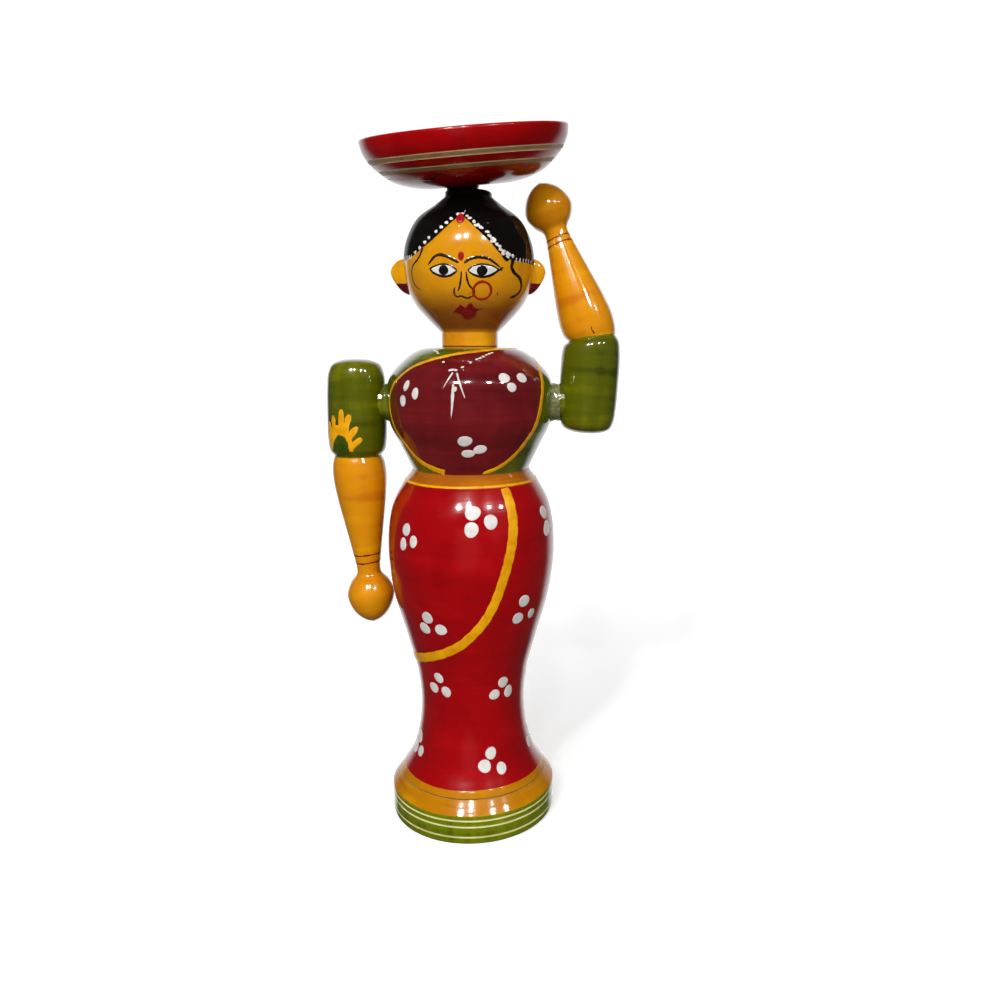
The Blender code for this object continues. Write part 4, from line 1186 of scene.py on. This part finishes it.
# ------------------------------------------------------------ shoulders, glue
def glue_collar(word, side, x_in, x_out, r_mid, r_end_in, r_end_out):
    """Bead of glue round the shoulder peg: waisted in the middle, its inner
    end bedded in the chest, its outer end stopping short of the arm."""
    bm = bmesh.new()
    cols, rows = 64, 14
    rings = []
    for k in range(rows + 1):
        f = k / rows
        x = x_in + (x_out - x_in) * f
        base = r_mid + (r_end_in - r_mid) * (1 - f) ** 2.4 + (r_end_out - r_mid) * f ** 2.6
        ring = []
        for i in range(cols):
            a = 2 * math.pi * i / cols
            lump = 0.16 * math.sin(3 * a + 5 * f) + 0.10 * math.sin(7 * a - 6 * f)
            r = base + lump * math.sin(math.pi * min(1, f + 0.2))
            ring.append(bm.verts.new((side * x, r * math.cos(a), 122.2 + r * math.sin(a))))
        rings.append(ring)
    hole = [[bm.verts.new((side * x, (PEG_R + 0.02) * math.cos(2 * math.pi * i / cols),
                           122.2 + (PEG_R + 0.02) * math.sin(2 * math.pi * i / cols)))
             for i in range(cols)] for x in (x_out, x_in)]
    loops = rings + hole
    for a, b in zip(loops, loops[1:] + loops[:1]):
        for i in range(cols):
            j = (i + 1) % cols
            bm.faces.new((a[i], a[j], b[j], b[i]))
    return bm


def shoulders():
    for word, side, x_in, x_out, mat in (("right", -1, 22.9, 24.9, GREEN), ("left", 1, 22.6, 25.9, GLUE)):
        bm = glue_collar(word, side, x_in, x_out, 5.25, 6.2, 5.5)
        obj = finish_mesh("shoulder_collar_" + word, bm, ONE, [mat], 60)
        dress(obj, "doll", "blouse_lacquer" if word == "right" else "bare_wood")


def seam(name, body, slot, matrix, r_in, r_out, low, high, mat):
    """The thin line of lac and glue that closes a seam between two turnings."""
    p = [(r_in, low), (r_out - 0.1, low), (r_out, (low + high) / 2),
         (r_out - 0.1, high), (r_in, high), (r_in, low)]
    bm = bmesh.new()
    rings = [[bm.verts.new((r * math.sin(2 * math.pi * i / 120),
                            -r * math.cos(2 * math.pi * i / 120), z)) for i in range(120)]
             for r, z in p[:-1]]
    for a, b in zip(rings, rings[1:] + rings[:1]):
        for i in range(120):
            j = (i + 1) % 120
            bm.faces.new((a[i], a[j], b[j], b[i]))
    return dress(finish_mesh(name, bm, matrix, [mat], 60), body, slot)


def seams():
    seam("seam_base", "doll", "base_lacquer", ONE, 6.0, 21.25, 11.55, 11.95, SEAM_DARK)
    seam("seam_waist", "doll", "skirt_lacquer", ONE, 6.0, 16.9, 103.05, 103.45, WAIST)
    seam("seam_neck", "head", "head_lacquer", ONE, 4.5, 8.0, 138.15, 138.6, SEAM_DARK)
    seam("seam_elbow_right", "arm_right", "sleeve_lacquer", R_ELBOW, 3.5, 6.75, -0.05, 0.35,
         BASE_GREEN)
    seam("seam_elbow_left", "arm_left", "sleeve_lacquer", L_ELBOW @ along(L_SEAM), 3.5, 6.75,
         -0.2, 0.2, BASE_GREEN)


base_piece()
skirt_piece()
torso_piece()
head_piece()
ear_piece("right", -1, 22.6)
ear_piece("left", 1, 21.9)
dish_piece()
dish_collar()
arms()
shoulders()
seams()

for node, mat in (("base_peg", WOOD), ("waist_peg", WOOD), ("neck_peg", WOOD),
                  ("dish_peg", DARK_PEG), ("ear_pin_left", WOOD), ("ear_pin_right", WOOD),
                  ("elbow_peg_left", WOOD), ("elbow_peg_right", WOOD),
                  ("shoulder_peg_left", SLEEVE), ("shoulder_peg_right", SLEEVE)):
    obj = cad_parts[node]
    obj.data.materials.clear()
    obj.data.materials.append(mat)

# --------------------------------------------------------------------- stage
def stage():
    bpy.ops.mesh.primitive_plane_add(size=6.0, location=(0, 0, -0.00005))
    floor = bpy.context.object
    floor.name = "floor"
    mat = bpy.data.materials.new("pale_floor")
    mat.use_nodes = True
    b = mat.node_tree.nodes["Principled BSDF"]
    b.inputs["Base Color"].default_value = (0.86, 0.86, 0.86, 1)
    b.inputs["Roughness"].default_value = 0.9
    b.inputs["Specular IOR Level"].default_value = 0.0
    b.inputs["Emission Color"].default_value = (1, 1, 1, 1)
    nt = mat.node_tree
    tc = nt.nodes.new("ShaderNodeTexCoord")
    far = nt.nodes.new("ShaderNodeVectorMath")
    far.operation = "LENGTH"
    mr = nt.nodes.new("ShaderNodeMapRange")
    mr.inputs["From Min"].default_value = 0.05
    mr.inputs["From Max"].default_value = 0.9
    mr.inputs["To Min"].default_value = 0.40
    mr.inputs["To Max"].default_value = 1.05
    nt.links.new(tc.outputs["Object"], far.inputs[0])
    nt.links.new(far.outputs["Value"], mr.inputs["Value"])
    nt.links.new(mr.outputs["Result"], b.inputs["Emission Strength"])
    floor.data.materials.append(mat)
    floor.visible_glossy = False
    floor.visible_diffuse = False

    # pale sweep behind everything, seen directly but not mirrored in the lac
    bpy.ops.mesh.primitive_ico_sphere_add(subdivisions=4, radius=2.9, location=(0, 0, 0))
    sweep = bpy.context.object
    sweep.name = "pale_sweep"
    pale = bpy.data.materials.new("pale_sweep")
    pale.use_nodes = True
    b = pale.node_tree.nodes["Principled BSDF"]
    b.inputs["Base Color"].default_value = (0, 0, 0, 1)
    b.inputs["Specular IOR Level"].default_value = 0.0
    b.inputs["Emission Color"].default_value = (1, 1, 1, 1)
    b.inputs["Emission Strength"].default_value = 1.05
    sweep.data.materials.append(pale)
    for flag in ("visible_glossy", "visible_diffuse", "visible_shadow",
                 "visible_transmission", "visible_volume_scatter"):
        setattr(sweep, flag, False)

    world = bpy.data.worlds.new("studio")
    bpy.context.scene.world = world
    world.use_nodes = True
    nt = world.node_tree
    nt.nodes.clear()
    out = nt.nodes.new("ShaderNodeOutputWorld")
    bg = nt.nodes.new("ShaderNodeBackground")
    tc = nt.nodes.new("ShaderNodeTexCoord")
    sep = nt.nodes.new("ShaderNodeSeparateXYZ")
    mr = nt.nodes.new("ShaderNodeMapRange")
    mr.interpolation_type = "SMOOTHSTEP"
    mr.inputs["From Min"].default_value = 0.58
    mr.inputs["From Max"].default_value = 0.80
    mr.inputs["To Min"].default_value = 0.06
    mr.inputs["To Max"].default_value = 1.05
    nt.links.new(tc.outputs["Generated"], sep.inputs[0])
    nt.links.new(sep.outputs["Y"], mr.inputs["Value"])
    nt.links.new(mr.outputs["Result"], bg.inputs["Strength"])
    bg.inputs["Color"].default_value = (1, 1, 1, 1)
    nt.links.new(bg.outputs[0], out.inputs[0])

    def aim(obj, target):
        obj.rotation_mode = "QUATERNION"
        obj.rotation_quaternion = (Vector(target) - obj.location).to_track_quat("-Z", "Y")

    def soft(name, loc, size, watts):
        data = bpy.data.lights.new(name, "AREA")
        data.shape = "DISK"
        data.size = size
        data.energy = watts
        obj = bpy.data.objects.new(name, data)
        bpy.context.scene.collection.objects.link(obj)
        obj.location = loc
        aim(obj, (0, 0, 0.1))
        obj.visible_glossy = False
        return obj

    soft("key", (-0.45, -0.75, 0.60), 0.5, 4.6)
    soft("fill", (0.60, -0.70, 0.30), 0.6, 2.0)
    soft("front_low", (-0.05, -0.90, 0.02), 0.5, 3.2)
    soft("top", (0.0, 0.1, 1.1), 0.8, 2.0)

    def spot(name, az, el, dist, radius, watts):
        a, e = math.radians(az), math.radians(el)
        data = bpy.data.lights.new(name, "POINT")
        data.energy = watts
        data.shadow_soft_size = radius
        obj = bpy.data.objects.new(name, data)
        bpy.context.scene.collection.objects.link(obj)
        obj.location = (dist * math.sin(a) * math.cos(e), -dist * math.cos(a) * math.cos(e),
                        0.16 + dist * math.sin(e))
        return obj
    for i, (az, el, w) in enumerate(((-18, 36, 10.0), (-2, 39, 7.5), (32, 35, 4.5), (52, 31, 2.2))):
        spot("ceiling_%d" % i, az, el, 1.1, 0.035, w)
        glint = spot("ceiling_glint_%d" % i, az + 1.5, el, 1.1, 0.05, 4.2 * w)
        glint.visible_diffuse = False


def camera():
    az = math.radians(4.17)
    data = bpy.data.cameras.new("camera")
    data.sensor_width = 36.0
    data.lens = 29.92
    data.shift_x = -0.031
    data.shift_y = -0.053
    data.clip_start, data.clip_end = 0.01, 20.0
    cam = bpy.data.objects.new("camera", data)
    bpy.context.scene.collection.objects.link(cam)
    cam.location = (0.242 * math.sin(az), -0.242 * math.cos(az), 0.1387)
    cam.rotation_euler = (math.radians(90 - 7.0), 0, 0)
    bpy.context.scene.camera = cam


stage()
camera()
scene = bpy.context.scene
scene.view_settings.view_transform = "Standard"
scene.view_settings.look = "None"
scene.view_settings.exposure = 0.0
scene.view_settings.gamma = 1.0

bpy.context.view_layer.update()
